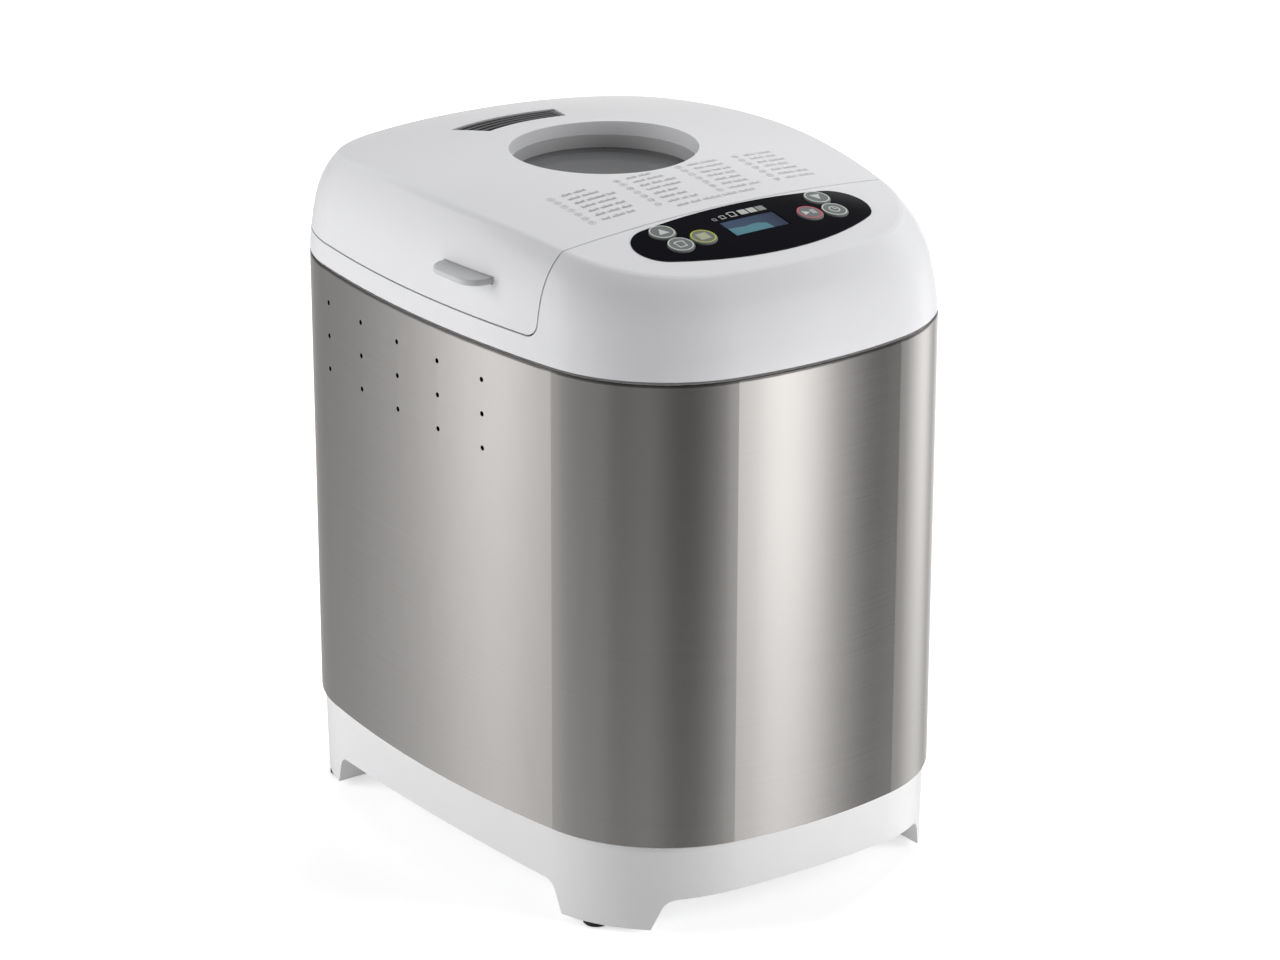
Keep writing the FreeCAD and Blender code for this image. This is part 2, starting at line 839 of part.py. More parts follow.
def vent_sector(grow, z0, z1):
    # the vent's plan, grown by a parallel distance: part of a ring about the window's axis
    return ring_sector(vent_inner_radius - grow, vent_outer_radius + grow,
                       vent_half_angle + vent_angle(grow), z0, z1)


def vent_angle(length):
    # angle that a length takes up along the vent's middle
    return math.degrees(2 * length / (vent_inner_radius + vent_outer_radius))


def in_panel_frame(shape):
    # from the control panel's own axes (z out of its face) to the machine's
    placed = shape.copy()
    placed.Placement = panel_frame.multiply(placed.Placement)
    return placed


panel_tilt = math.degrees(math.asin((crown_y - display_y) / dome_radius_along))
panel_frame = FreeCAD.Placement(V(0, display_y, dome_height(0, display_y)),
                                FreeCAD.Rotation(V(1, 0, 0), panel_tilt))
window_wall_bottom = dome_height(window_radius, window_y) - window_wall_depth
window_ring_bottom = window_wall_bottom - window_ring_depth
liner_top = window_ring_bottom - window_glass_thickness
liner_bottom = seam_z + liner_rise
liner_half_width = chamber_half_width + liner_side_spare
liner_half_length = chamber_half_length + liner_end_spare
liner_post_x = liner_half_width + liner_post_side
liner_post_y = (chamber_y - liner_half_length + liner_post_front,
                chamber_y + liner_half_length - liner_post_back)
liner_post_places = [(sx * liner_post_x, y) for sx in (-1, 1) for y in liner_post_y]


# --- housing --------------------------------------------------------------------------
def base_outline(z, inset):
    share = (steel_bottom_z - z) / (steel_bottom_z - foot_pad_height)
    draft = base_inset + base_draft * share
    return bowed_outline(body_half_width - wrap_taper_width - draft,
                         body_half_depth - wrap_taper_depth - draft,
                         body_side_bow, body_end_bow, body_corner_radius, 0.0, z, inset)


def band(outline, z, outer, inner, height):
    # upright band between two insets of an outline
    return plate(outline(z, outer), height).cut(plate(outline(z, inner), height))


def arch(half, grow, along_x):
    # opening between two feet, right through the base, its top slightly bowed
    low = foot_pad_height - cut_over
    top = arch_top + grow
    high_half = half + grow
    low_half = high_half + arch_spread
    reach = 2 * body_half_depth

    def at(u, z):
        return V(-reach, u, z) if along_x else V(u, -reach, z)

    crown = arc_through(at(-high_half, top), at(0, top + arch_bow), at(high_half, top))
    rest = Part.makePolygon([at(high_half, top), at(low_half, low), at(-low_half, low),
                             at(-high_half, top)])
    face = Part.Face(Part.Wire([crown] + rest.Edges))
    block = face.extrude(V(2 * reach, 0, 0) if along_x else V(0, 2 * reach, 0))
    corners = [edge for edge in block.Edges
               if edge.Length > reach and edge.BoundBox.ZMin > top - edge_tolerance]
    return block.makeFillet(arch_soft_radius, corners)


def base_form(inset, bottom, grow):
    form = Part.makeLoft([base_outline(bottom, inset), base_outline(steel_bottom_z, inset)], True, True)
    form = form.cut(arch(foot_pad_y - side_arch_inset, grow, True))
    return form.cut(arch(foot_pad_x - end_arch_inset, grow, False))


def base():
    shell = base_form(0.0, foot_pad_height, 0.0)
    shell = shell.cut(base_form(base_wall, foot_pad_height + base_wall, base_wall))
    ledge = band(base_outline, steel_bottom_z - base_wall, ledge_set_back,
                 wrap_flange + ledge_past_flange, base_wall)
    lip_inset = wrap_flange + lip_fit - base_inset
    lip = band(base_outline, steel_bottom_z, lip_inset, lip_inset + lip_thickness, lip_height)
    bosses = [rod(chassis_boss_radius, x, y, arch_top + base_wall / 2, chassis_z)
              for x, y in chassis_boss_places]
    shell = joined([shell, ledge, lip] + bosses)
    holes = [rod(screw_radius, x, y, chassis_z - screw_length - screw_hole_extra, chassis_z + cut_over)
             for x, y in chassis_boss_places]
    holes += [rod(foot_stem_radius, x, y, 0, foot_pad_height + base_wall + cut_over)
              for x, y in foot_places]
    for index in range(louvre_count):
        x = (index - (louvre_count - 1) / 2) * louvre_pitch
        holes.append(box(x - louvre_width / 2, x + louvre_width / 2, motor_y - louvre_length / 2,
                         motor_y + louvre_length / 2, foot_pad_height, base_floor_top + cut_over))
    skin_y = base_back_y(cord_entry_x, cord_entry_z)
    holes.append(along_rod(cord_entry_radius, cord_entry_x, skin_y - 2 * base_wall - cord_bush_inside,
                           skin_y + cord_flange_proud, cord_entry_z))
    return shell.cut(Part.makeCompound(holes))


def rubber_feet():
    stem_top = foot_pad_height + base_wall + foot_stem_grip
    pad = [(0, 0), (foot_pad_radius - foot_pad_soft, 0), (foot_pad_radius, foot_pad_soft),
           (foot_pad_radius, foot_pad_height), (foot_stem_radius, foot_pad_height),
           (foot_stem_radius, stem_top), (0, stem_top)]
    return Part.makeCompound([turned(pad, x, y) for x, y in foot_places])


def steel_wrap():
    def block(inset, roll):
        form = Part.makeLoft([wrap_outline(steel_bottom_z + inset, inset),
                              wrap_outline(steel_top_z - inset, inset)], True, True)
        top = max(form.Faces, key=lambda face: face.CenterOfMass.z)
        return form.makeFillet(roll, top.OuterWire.Edges)

    opening = Part.makeLoft([wrap_outline(steel_bottom_z - cut_over, wrap_flange),
                             wrap_outline(steel_top_z + cut_over, wrap_flange)], True, True)
    skin = block(0.0, wrap_roll_radius).cut(block(sheet, wrap_roll_radius - sheet)).cut(opening)
    outer = body_half_width + cut_over
    inner = body_half_width - body_side_bow - wrap_taper_width
    holes = []
    for column in range(vent_columns):
        y = vent_first_column_y + column * vent_column_pitch
        for row in range(vent_rows):
            z = steel_top_z - vent_first_below_top - row * vent_row_pitch
            holes.append(cross_rod(vent_hole_radius, -outer, -inner, y, z))
            holes.append(cross_rod(vent_hole_radius, inner, outer, y, z))
    return skin.cut(Part.makeCompound(holes))


def hinge_ears():
    ears = []
    for side in (-1, 1):
        x0, x1 = sorted((side * hinge_ear_inner, side * (hinge_ear_inner + hinge_ear_width)))
        ears.append(cross_rod(hinge_knuckle_radius, x0, x1, hinge_y, hinge_z))
        ears.append(box(x0, x1, hinge_y - hinge_knuckle_radius, hinge_y + hinge_pin_radius,
                        deck_bottom, hinge_z))
    return ears


def hinge_bores(grow):
    low = hinge_ear_inner - cut_over - hinge_pin_spare
    high = hinge_knuckle_start + hinge_knuckle_width + cut_over
    return [cross_rod(hinge_pin_radius + grow, -high, -low, hinge_y, hinge_z),
            cross_rod(hinge_pin_radius + grow, low, high, hinge_y, hinge_z)]


def top_frame():
    outer = upper_form(0.0, 0.0, crease_radius)
    inner = upper_form(shell_wall, shell_wall, 0.0)
    frame = outer.cut(seam_block(0.0))
    before_seam = inner.cut(room(front=seam_y - shell_wall))
    frame = frame.cut(before_seam)
    frame = frame.cut(inner.common(room(high=deck_bottom)))
    frame = frame.cut(inner.common(room(front=seam_y, low=deck_z)))
    # ledge that rests on the steel's flange, and a lip inside the flange
    ledge = band(skirt_outline, steel_top_z, wrap_roll_radius + lip_fit,
                 wrap_flange + ledge_past_flange, shell_wall)
    lip = band(wrap_outline, steel_top_z - lip_height, wrap_flange + lip_fit,
               wrap_flange + lip_fit + lip_thickness, lip_height + skirt_gap)
    middle = upper_form(shell_wall / 2, shell_wall / 2, 0.0)
    posts = [in_panel_frame(rod(board_post_radius, x, y, -board_drop, 0)).common(middle)
             for x, y in board_post_places]
    frame = joined([frame, ledge, lip] + posts)
    mouth = round_block(chamber_half_width, chamber_half_length, chamber_corner_radius,
                        0, chamber_y, deck_bottom - cut_over, deck_z + cut_over)
    notch = box(-hinge_notch_half, hinge_notch_half, hinge_y - hinge_knuckle_radius - cut_over,
                body_half_depth + dome_margin, deck_z, hinge_z)
    frame = frame.cut(mouth).cut(notch)
    frame = joined([frame] + hinge_ears())
    seat = panel_prism(panel_fit).cut(under_dome(panel_proud - panel_thickness))
    openings = button_bores() + [display_block(display_frame_fit, -board_drop / 2, board_drop / 2)]
    return frame.cut(seat).cut(Part.makeCompound(openings)).cut(Part.makeCompound(hinge_bores(0.0)))


def base_back_y(x, z):
    # where the base's rear skin is
    outline = base_outline(z, 0.0)
    cut = Part.LineSegment(V(x, 0, z), V(x, 2 * body_half_depth, z)).toShape()
    return outline.distToShape(cut)[1][0][0].y


def cord_bush():
    # flanged bush that lines the cord's way out, flange shaped to the base's skin
    skin_y = base_back_y(cord_entry_x, cord_entry_z)
    inner_end = skin_y - base_wall - cord_bush_inside
    outer_end = skin_y + cord_flange_proud
    flange = along_rod(cord_entry_radius + cord_flange_margin, cord_entry_x, inner_end, outer_end,
                       cord_entry_z)
    flange = flange.cut(Part.makeLoft([base_outline(foot_pad_height, 0.0),
                                       base_outline(steel_bottom_z, 0.0)], True, True))
    body = along_rod(cord_entry_radius, cord_entry_x, inner_end, outer_end, cord_entry_z)
    bore = along_rod(cord_bore_radius, cord_entry_x, inner_end - cut_over, outer_end + cut_over,
                     cord_entry_z)
    return joined([flange, body]).cut(bore)


# --- lid --------------------------------------------------------------------------------
def lid():
    outer = upper_form(0.0, 0.0, crease_radius).common(seam_block(seam_gap))
    inner = upper_form(shell_wall, shell_wall, 0.0)
    shell = outer.cut(inner.common(room(front=seam_y + seam_gap + shell_wall)))
    # what stands inside the shell ends within its wall
    middle = upper_form(shell_wall / 2, shell_wall / 2, 0.0)
    inside = [rod(window_radius + shell_wall, 0, window_y, window_wall_bottom, crown_z)]
    inside += [rod(liner_post_radius, x, y, liner_bottom + sheet, crown_z) for x, y in liner_post_places]
    inside.append(vent_sector(vent_sleeve_wall, window_wall_bottom - vent_sleeve_drop, crown_z))
    shell = joined([shell] + [piece.common(middle) for piece in inside])
    knuckles = []
    cuts = []
    for side in (-1, 1):
        x0, x1 = sorted((side * hinge_knuckle_start, side * (hinge_knuckle_start + hinge_knuckle_width)))
        knuckles.append(cross_rod(hinge_knuckle_radius, x0, x1, hinge_y, hinge_z))
        knuckles.append(box(x0, x1, hinge_y - hinge_knuckle_radius, hinge_y, hinge_z,
                            hinge_z + hinge_root_height).common(outer))
        x0, x1 = sorted((side * (hinge_ear_inner - hinge_side_gap), side * hinge_knuckle_start))
        cuts.append(cross_rod(hinge_clear, x0, x1, hinge_y, hinge_z))
        cuts.append(box(x0, x1, hinge_y - hinge_clear, body_half_depth + dome_margin, seam_z, hinge_z))
        cuts.append(finger_tab_bar(side, panel_fit))
    cuts.append(rod(window_radius, 0, window_y, window_wall_bottom - cut_over, crown_z + cut_over))
    cuts.append(vent_sector(0.0, window_wall_bottom - 2 * vent_sleeve_drop, crown_z + cut_over))
    cuts += [rod(screw_radius, x, y, liner_bottom - cut_over, liner_bottom + screw_length + screw_hole_extra)
             for x, y in liner_post_places]
    shell = shell.cut(Part.makeCompound(cuts))
    return joined([shell] + knuckles).cut(Part.makeCompound(hinge_bores(running_gap)))


def lid_liner():
    corner = liner_corner_spare + chamber_corner_radius

    def tray(inset):
        form = round_block(liner_half_width - inset, liner_half_length - inset, corner - inset,
                           0, chamber_y, liner_bottom, liner_top - inset)
        top = max(form.Faces, key=lambda face: face.CenterOfMass.z)
        return form.makeFillet(liner_press_radius - inset, top.OuterWire.Edges)

    shell = tray(0.0).cut(tray(sheet))
    ear = liner_post_radius + liner_ear_margin
    ear_top = liner_bottom + sheet
    ears = []
    for x, y in liner_post_places:
        x0, x1 = sorted((math.copysign(liner_half_width - sheet, x), x))
        ears.append(rod(ear, x, y, liner_bottom, ear_top))
        ears.append(box(x0, x1, y - ear, y + ear, liner_bottom, ear_top))
    shell = joined([shell] + ears)
    holes = [rod(window_radius - liner_window_lip, 0, window_y, liner_bottom, crown_z)]
    holes += [rod(screw_radius + screw_clearance, x, y, liner_bottom - cut_over, ear_top + cut_over)
              for x, y in liner_post_places]
    for row in steam_hole_rows:
        radius = vent_inner_radius + row
        for step in range(steam_hole_count):
            angle = math.radians(90 + (step - (steam_hole_count - 1) / 2) * steam_hole_step)
            holes.append(rod(steam_hole_radius, radius * math.cos(angle),
                             window_y + radius * math.sin(angle),
                             liner_top - sheet - cut_over, liner_top + cut_over))
    return shell.cut(Part.makeCompound(holes))


def liner_screws():
    profile = [(0, -screw_head_height), (screw_head_radius, -screw_head_height),
               (screw_head_radius, 0), (screw_radius, 0), (screw_radius, screw_length), (0, screw_length)]
    profile = [(r, liner_bottom + z) for r, z in profile]
    return Part.makeCompound([turned(profile, x, y) for x, y in liner_post_places])


def window_ring():
    outer = window_radius + shell_wall
    lip = window_radius - window_ring_lip
    seat = window_radius + window_glass_overlap + running_gap
    profile = [(lip, window_ring_bottom), (lip, window_wall_bottom), (outer, window_wall_bottom),
               (outer, liner_top), (seat, liner_top), (seat, window_ring_bottom)]
    return turned(profile, 0, window_y)


def window_glass():
    return rod(window_radius + window_glass_overlap, 0, window_y, liner_top, window_ring_bottom)


def steam_vent():
    # curved louvre: concentric ribs in a frame, on a duct that meets the liner
    top = crown_z + cut_over
    skin = under_dome(-vent_recess).cut(under_dome(-vent_recess - vent_grille_thickness))
    grille = vent_sector(-vent_fit, liner_top, top).common(skin)
    start = vent_inner_radius + vent_fit + vent_rib
    span = vent_outer_radius - vent_fit - start
    slot_width = span / vent_slots - vent_rib
    slots = []
    for index in range(vent_slots):
        inner = start + index * (slot_width + vent_rib)
        slots.append(ring_sector(inner, inner + slot_width, vent_half_angle - vent_angle(vent_fit + vent_rib),
                                 liner_top, top))
    grille = grille.cut(Part.makeCompound(slots))
    duct = vent_sector(-vent_fit, liner_top, crown_z)
    duct = duct.cut(vent_sector(-vent_fit - vent_duct_wall, liner_top - cut_over, top))
    return joined([grille, duct.common(under_dome(-vent_recess))])


def finger_tab_bar(side, grow):
    # runs from the outer tip inwards through the skirt to the back of the lug
    tip = side * (tab_reach + grow)
    x0, x1 = sorted((side * (body_half_width - body_side_bow), tip))
    half = tab_length / 2 + grow
    bar = box(x0, x1, tab_y - half, tab_y + half, tab_z - grow, tab_z + tab_thickness + grow)
    tip_edges = [edge for edge in bar.Edges
                 if abs(edge.BoundBox.XMin - tip) < edge_tolerance
                 and edge.BoundBox.XLength < edge_tolerance and edge.BoundBox.YLength < edge_tolerance]
    bar = bar.makeFillet(tab_corner_radius, tip_edges)
    return bar.cut(upper_form(shell_wall + tab_lug_thickness, shell_wall, 0.0))


def finger_tab(side):
    bar = finger_tab_bar(side, 0.0)
    rim_start = tab_reach - tab_corner_radius + tab_edge_radius / 2
    rim = [edge for edge in bar.Edges if abs(edge.CenterOfMass.x) > rim_start
           and edge.BoundBox.ZLength < edge_tolerance]
    bar = bar.makeFillet(tab_edge_radius, rim)
    # inner plate that follows the inside of the skirt
    x0, x1 = sorted((side * (body_half_width - body_side_bow), side * tab_reach))
    half = tab_length / 2
    lug = box(x0, x1, tab_y - half, tab_y + half, tab_z - tab_lug_margin,
              tab_z + tab_thickness + tab_lug_margin)
    lug = lug.common(upper_form(shell_wall, shell_wall, 0.0))
    lug = lug.cut(upper_form(shell_wall + tab_lug_thickness, shell_wall, 0.0))
    return joined([bar, lug])


def hinge_pins():
    start = hinge_ear_inner + hinge_pin_spare
    end = hinge_knuckle_start + hinge_knuckle_width + hinge_pin_spare
    return Part.makeCompound([cross_rod(hinge_pin_radius, -end, -start, hinge_y, hinge_z),
                              cross_rod(hinge_pin_radius, start, end, hinge_y, hinge_z)])


# --- control panel ----------------------------------------------------------------------
def panel_local(x, y):
    # a plan distance from the display's middle, in the panel's own axes
    return x, y / math.cos(math.radians(panel_tilt))


def panel_prism(grow):
    # upright block with the panel's plan, from well below the dome to above it
    return plate(lens_outline(grow, seam_z), crown_plan_z - seam_z)


def display_block(grow, z0, z1):
    return in_panel_frame(box(-display_width / 2 - grow, display_width / 2 + grow,
                              -display_height / 2 - grow, display_height / 2 + grow, z0, z1))


def button_bores():
    bores = []
    for x, y in button_places.values():
        local_x, local_y = panel_local(x, y)
        bores.append(in_panel_frame(rod(button_radius + button_gap, local_x, local_y,
                                        -board_drop / 2, board_drop / 2)))
    return bores


def control_overlay():
    skin = under_dome(panel_proud).cut(under_dome(panel_proud - panel_thickness))
    openings = button_bores() + [display_block(0.0, -board_drop / 2, board_drop / 2)]
    return panel_prism(0.0).common(skin).cut(Part.makeCompound(openings))


def display_window():
    pane = display_block(-display_fit, -display_thickness, display_thickness)
    return pane.common(under_dome(panel_proud - display_recess))


def lcd_module():
    top = -display_thickness - display_recess
    bottom = top - lcd_thickness
    half_x = display_width / 2
    half_y = display_height / 2
    face = box(-half_x - lcd_margin, half_x + lcd_margin, -half_y - lcd_margin, half_y + lcd_margin,
               bottom, top)
    header_end = half_y + lcd_margin - cut_over
    header = box(-half_x, half_x, header_end - lcd_header_width, header_end, -board_drop, bottom)
    return in_panel_frame(joined([face, header]))


def button(x, y):
    local_x, local_y = panel_local(x, y)
    cap = in_panel_frame(rod(button_radius, local_x, local_y, -button_depth, board_drop / 2))
    cap = cap.common(under_dome(button_proud))
    top = max(cap.Faces, key=lambda face: face.CenterOfMass.z)
    cap = cap.makeFillet(button_edge_radius, top.OuterWire.Edges)
    stem_end = -board_drop + switch_height + button_travel + button_stem_gap
    stem = in_panel_frame(rod(button_stem_radius, local_x, local_y, stem_end, cut_over - button_depth))
    return joined([cap, stem])


def control_board():
    half_x = board_length / 2
    half_y = board_width / 2
    under = -board_drop - board_thickness
    board = box(-half_x, half_x, board_centre - half_y, board_centre + half_y, under, -board_drop)
    holes = [rod(screw_radius - screw_clearance, x, y, under - cut_over, cut_over - board_drop)
             for x, y in board_post_places]
    return in_panel_frame(board.cut(Part.makeCompound(holes)))


def tact_switches():
    switches = []
    for x, y in button_places.values():
        local_x, local_y = panel_local(x, y)
        body = box(local_x - switch_half, local_x + switch_half, local_y - switch_half,
                   local_y + switch_half, -board_drop, switch_height - plunger_height - board_drop)
        plunger = rod(plunger_radius, local_x, local_y, plunger_height - board_drop,
                      switch_height - board_drop)
        switches.append(in_panel_frame(joined([body, plunger])))
    return Part.makeCompound(switches)


# --- oven chamber -------------------------------------------------------------------------
def chamber_block(grow, z0, z1):
    return round_block(chamber_half_width + grow, chamber_half_length + grow,
                       chamber_corner_radius + grow, 0, chamber_y, z0, z1)


def oven_chamber():
    top = deck_bottom
    wall = chamber_block(sheet, chamber_floor_z, top)
    flange = chamber_block(chamber_flange, top - sheet, top)
    cavity = chamber_block(0.0, chamber_floor_top, top + cut_over)
    holes = [rod(housing_radius, 0, chamber_y, chamber_floor_z - cut_over, chamber_floor_top + cut_over)]
    holes += [cross_rod(element_bush_radius, chamber_half_width - cut_over,
                        chamber_half_width + sheet + cut_over, y, element_z) for y in element_exits]
    holes.append(along_rod(sensor_radius + sensor_hole_fit, sensor_x, chamber_skin_front - cut_over,
                           chamber_front + cut_over, sensor_z))
    return joined([wall, flange]).cut(cavity).cut(Part.makeCompound(holes))


def heating_element():
    out = chamber_half_width + element_tail
    half = element_half_width
    back = chamber_y + element_half_length
    first, second = element_exits
    z = element_z
    bend_radius = element_bend_radius
    points = [V(out, second, z), V(half, second, z), V(half, back, z), V(-half, back, z),
              V(-half, element_front, z), V(half, element_front, z), V(half, first, z), V(out, first, z)]
    radii = [bend_radius / 2, bend_radius, bend_radius, bend_radius, bend_radius / 2, bend_radius / 2]
    return swept_tube(bent_path(points, radii), element_tube_radius)


def element_bushes():
    # ceramic bushes where the heater's ends pass the chamber's side wall
    bushes = []
    inside = chamber_half_width - element_bush_inside
    outside = chamber_half_width + sheet
    end = outside + element_bush_thickness
    for y in element_exits:
        body = cross_rod(element_bush_radius, inside, end, y, element_z)
        flange = cross_rod(element_bush_radius + element_bush_flange, outside, end, y, element_z)
        bore = cross_rod(element_tube_radius, inside - cut_over, end + cut_over, y, element_z)
        bushes.append(joined([body, flange]).cut(bore))
    return Part.makeCompound(bushes)


def element_clips():
    # upright sheet supports that the heater's tube passes through
    z0 = chamber_floor_top
    z1 = element_z + element_tube_radius + element_clip_top
    half = element_clip_half
    sheet_half = element_clip_sheet / 2
    foot_top = z0 + element_clip_sheet
    clips = []
    for y in (element_front, chamber_y + element_half_length):
        clip = box(-sheet_half, sheet_half, y - half, y + half, z0, z1)
        foot = box(-sheet_half, element_clip_foot, y - half, y + half, z0, foot_top)
        hole = cross_rod(element_tube_radius, -half, half, y, element_z)
        clips.append(joined([clip, foot]).cut(hole))
    x = -element_half_width
    clip = box(x - half, x + half, chamber_y - sheet_half, chamber_y + sheet_half, z0, z1)
    foot = box(x - half, x + half, chamber_y - sheet_half, chamber_y + element_clip_foot, z0, foot_top)
    hole = along_rod(element_tube_radius, x, chamber_y - half, chamber_y + half, element_z)
    clips.append(joined([clip, foot]).cut(hole))
    return Part.makeCompound(clips)


def temperature_sensor():
    probe = along_rod(sensor_radius, sensor_x, chamber_skin_front - sensor_outside,
                      chamber_front + sensor_inside, sensor_z)
    flange = along_rod(sensor_flange_radius, sensor_x, chamber_skin_front - sensor_flange_thickness,
                       chamber_skin_front, sensor_z)
    return joined([probe, flange])


def thermal_fuse():
    y = chamber_skin_front - fuse_radius
    z = sensor_z + fuse_above_sensor
    sleeve = cross_rod(fuse_radius, -fuse_half_length, fuse_half_length, y, z)
    saddle = box(-fuse_saddle_half, fuse_saddle_half, y, chamber_skin_front,
                 z - fuse_saddle_height, z + fuse_saddle_height)
    return joined([sleeve, saddle])


def pan_clips():
    # two leaf springs that grip the pan's foot ring
    start = pan_foot_radius + clip_gap
    z0 = chamber_floor_top
    z1 = z0 + clip_height
    spans = ((clip_sheet, z0, z1), (clip_foot, z0, z0 + clip_sheet), (clip_lip, z1 - clip_sheet, z1))
    clips = []
    for side in (-1, 1):
        blocks = []
        for reach, low, high in spans:
            x0, x1 = sorted((side * start, side * (start + reach)))
            blocks.append(box(x0, x1, chamber_y - clip_half, chamber_y + clip_half, low, high))
        clips.append(joined(blocks))
    return Part.makeCompound(clips)


# --- bread pan ------------------------------------------------------------------------------
def pan_body(inset, z0, z1):
    def level(z):
        taper = pan_draft * (pan_rim_z - z) / pan_height
        return rounded_rectangle(pan_half_width - taper - inset, pan_half_length - taper - inset,
                                 pan_corner_radius - inset, 0, chamber_y, z)

    form = Part.makeLoft([level(z0), level(z1)], True, True)
    low = min(form.Faces, key=lambda face: face.CenterOfMass.z)
    return form.makeFillet(pan_base_radius - inset, low.OuterWire.Edges)


def bread_pan():
    outer = pan_body(0.0, pan_bottom_z, pan_rim_z)
    rim = round_block(pan_half_width + pan_rim, pan_half_length + pan_rim,
                      pan_corner_radius + pan_rim, 0, chamber_y, pan_rim_z - pan_rim_height, pan_rim_z)
    rim_edges = [edge for edge in rim.Edges if edge.BoundBox.ZLength < edge_tolerance]
    rim = rim.makeFillet(pan_rim_radius, rim_edges)
    ears = []
    holes = [rod(pan_bottom_bore, 0, chamber_y, pan_bottom_z - cut_over, pan_bottom_z + pan_wall + cut_over)]
    for side in (-1, 1):
        y0, y1 = sorted((chamber_y + side * (pan_half_length - pan_ear_root), chamber_y + side * pan_ear_y))
        ears.append(box(-pan_ear_half, pan_ear_half, y0, y1, pan_pivot_z - pan_ear_below,
                        pan_pivot_z + pan_ear_above))
        y0, y1 = sorted((chamber_y + side * (bail_leg_y - bail_tip - cut_over),
                         chamber_y + side * (bail_leg_y + cut_over)))
        holes.append(along_rod(bail_wire_radius + running_gap, 0, y0, y1, pan_pivot_z))
    cavity = pan_body(pan_wall, pan_bottom_z + pan_wall, pan_rim_z + cut_over)
    return joined([outer, rim] + ears).cut(cavity).cut(Part.makeCompound(holes))


def pan_foot():
    inner = pan_foot_radius - pan_foot_wall
    bottom = chamber_floor_top + seat_gap
    web = pan_bottom_z - pan_foot_web
    profile = [(inner, bottom), (pan_foot_radius, bottom), (pan_foot_radius, pan_bottom_z),
               (pan_foot_hub, pan_bottom_z), (pan_foot_hub, web), (inner, web)]
    return turned(profile, 0, chamber_y)


def pan_bearing():
    bore = drive_shaft_radius + running_gap
    inside = pan_bottom_z + pan_wall
    shoulder = inside + bearing_nut_height - bearing_nut_chamfer
    under = pan_bottom_z - bearing_flange_height
    profile = [(bore, under), (bearing_flange_radius, under), (bearing_flange_radius, pan_bottom_z),
               (pan_bottom_bore, pan_bottom_z), (pan_bottom_bore, inside), (bearing_nut_radius, inside),
               (bearing_nut_radius, shoulder),
               (bearing_nut_radius - bearing_nut_chamfer, inside + bearing_nut_height),
               (bore, inside + bearing_nut_height)]
    return turned(profile, 0, chamber_y)


def pan_handle():
    # wire bow, at rest on the pan's rim
    swing = math.asin((bail_pivot_drop + bail_wire_radius + seat_gap) / bail_reach)
    bar_x = -bail_reach * math.cos(swing)
    bar_z = pan_pivot_z + bail_reach * math.sin(swing)

    def at(x, y, z):
        return V(x, chamber_y + y, z)

    points = [at(0, bail_tip - bail_leg_y, pan_pivot_z), at(0, -bail_leg_y, pan_pivot_z),
              at(bar_x, -bail_leg_y, bar_z), at(bar_x, bail_leg_y, bar_z),
              at(0, bail_leg_y, pan_pivot_z), at(0, bail_leg_y - bail_tip, pan_pivot_z)]
    radii = [bail_tight_bend, bail_corner_radius, bail_corner_radius, bail_tight_bend]
    return swept_tube(bent_path(points, radii), bail_wire_radius)


def flat_side(offset, z0, z1):
    # what a flat cuts off a shaft on the chamber's axis
    reach = 1.5 * drive_shaft_radius
    return box(offset, reach, chamber_y - reach, chamber_y + reach, z0, z1)


def pan_shaft():
    # upright shaft through the pan's bottom, with the wing that the drive posts push
    top = paddle_z + paddle_height - shaft_below_paddle_top
    wing_top = wing_z + wing_height
    shaft = rod(drive_shaft_radius, 0, chamber_y, wing_z, top)
    wing = box(-wing_half_length, wing_half_length, chamber_y - wing_half_width,
               chamber_y + wing_half_width, wing_z, wing_top)
    collar = rod(shaft_collar_radius, 0, chamber_y, wing_top - cut_over,
                 pan_bottom_z - bearing_flange_height - shaft_collar_gap)
    return joined([shaft, wing, collar]).cut(flat_side(shaft_flat, paddle_z, top + cut_over))


def kneading_paddle():
    hub_top = paddle_z + paddle_height - paddle_hub_drop
    edge = paddle_hub_radius - paddle_hub_draft
    hub = turned([(0, paddle_z), (paddle_hub_radius, paddle_z), (edge, hub_top - paddle_hub_chamfer),
                  (edge - paddle_hub_chamfer, hub_top), (0, hub_top)], 0, chamber_y)
    # swept fin: plan between two arcs, trimmed by a sloping top
    mid_x = paddle_length / 2
    half = paddle_thickness / 2
    root_x = shaft_flat
    start_low = V(root_x, chamber_y - half, paddle_z)
    start_high = V(root_x, chamber_y + half, paddle_z)
    tip_low = V(paddle_length, chamber_y + paddle_sweep, paddle_z)
    tip_high = V(paddle_length - paddle_tip / 2, chamber_y + paddle_sweep + paddle_tip, paddle_z)
    edges = [
        arc_through(start_low, V(mid_x, chamber_y - half + paddle_belly, paddle_z), tip_low),
        Part.LineSegment(tip_low, tip_high).toShape(),
        arc_through(tip_high, V(mid_x, chamber_y + half + paddle_belly, paddle_z), start_high),
        Part.LineSegment(start_high, start_low).toShape(),
    ]
    fin = plate(Part.Wire(edges), paddle_height)
    reach = chamber_half_width
    high = paddle_z + paddle_height
    slope = Part.makePolygon([V(paddle_root, chamber_y - reach, high),
                              V(reach, chamber_y - reach, paddle_z),
                              V(reach, chamber_y - reach, high + cut_over),
                              V(paddle_root, chamber_y - reach, high + cut_over),
                              V(paddle_root, chamber_y - reach, high)])
    fin = fin.cut(Part.Face(slope).extrude(V(0, 2 * reach, 0)))
    bore = rod(drive_shaft_radius + running_gap, 0, chamber_y, paddle_z - cut_over, hub_top - paddle_cap)
    bore = bore.cut(flat_side(shaft_flat + running_gap, paddle_z - 2 * cut_over, hub_top))
    return joined([hub, fin]).cut(bore)


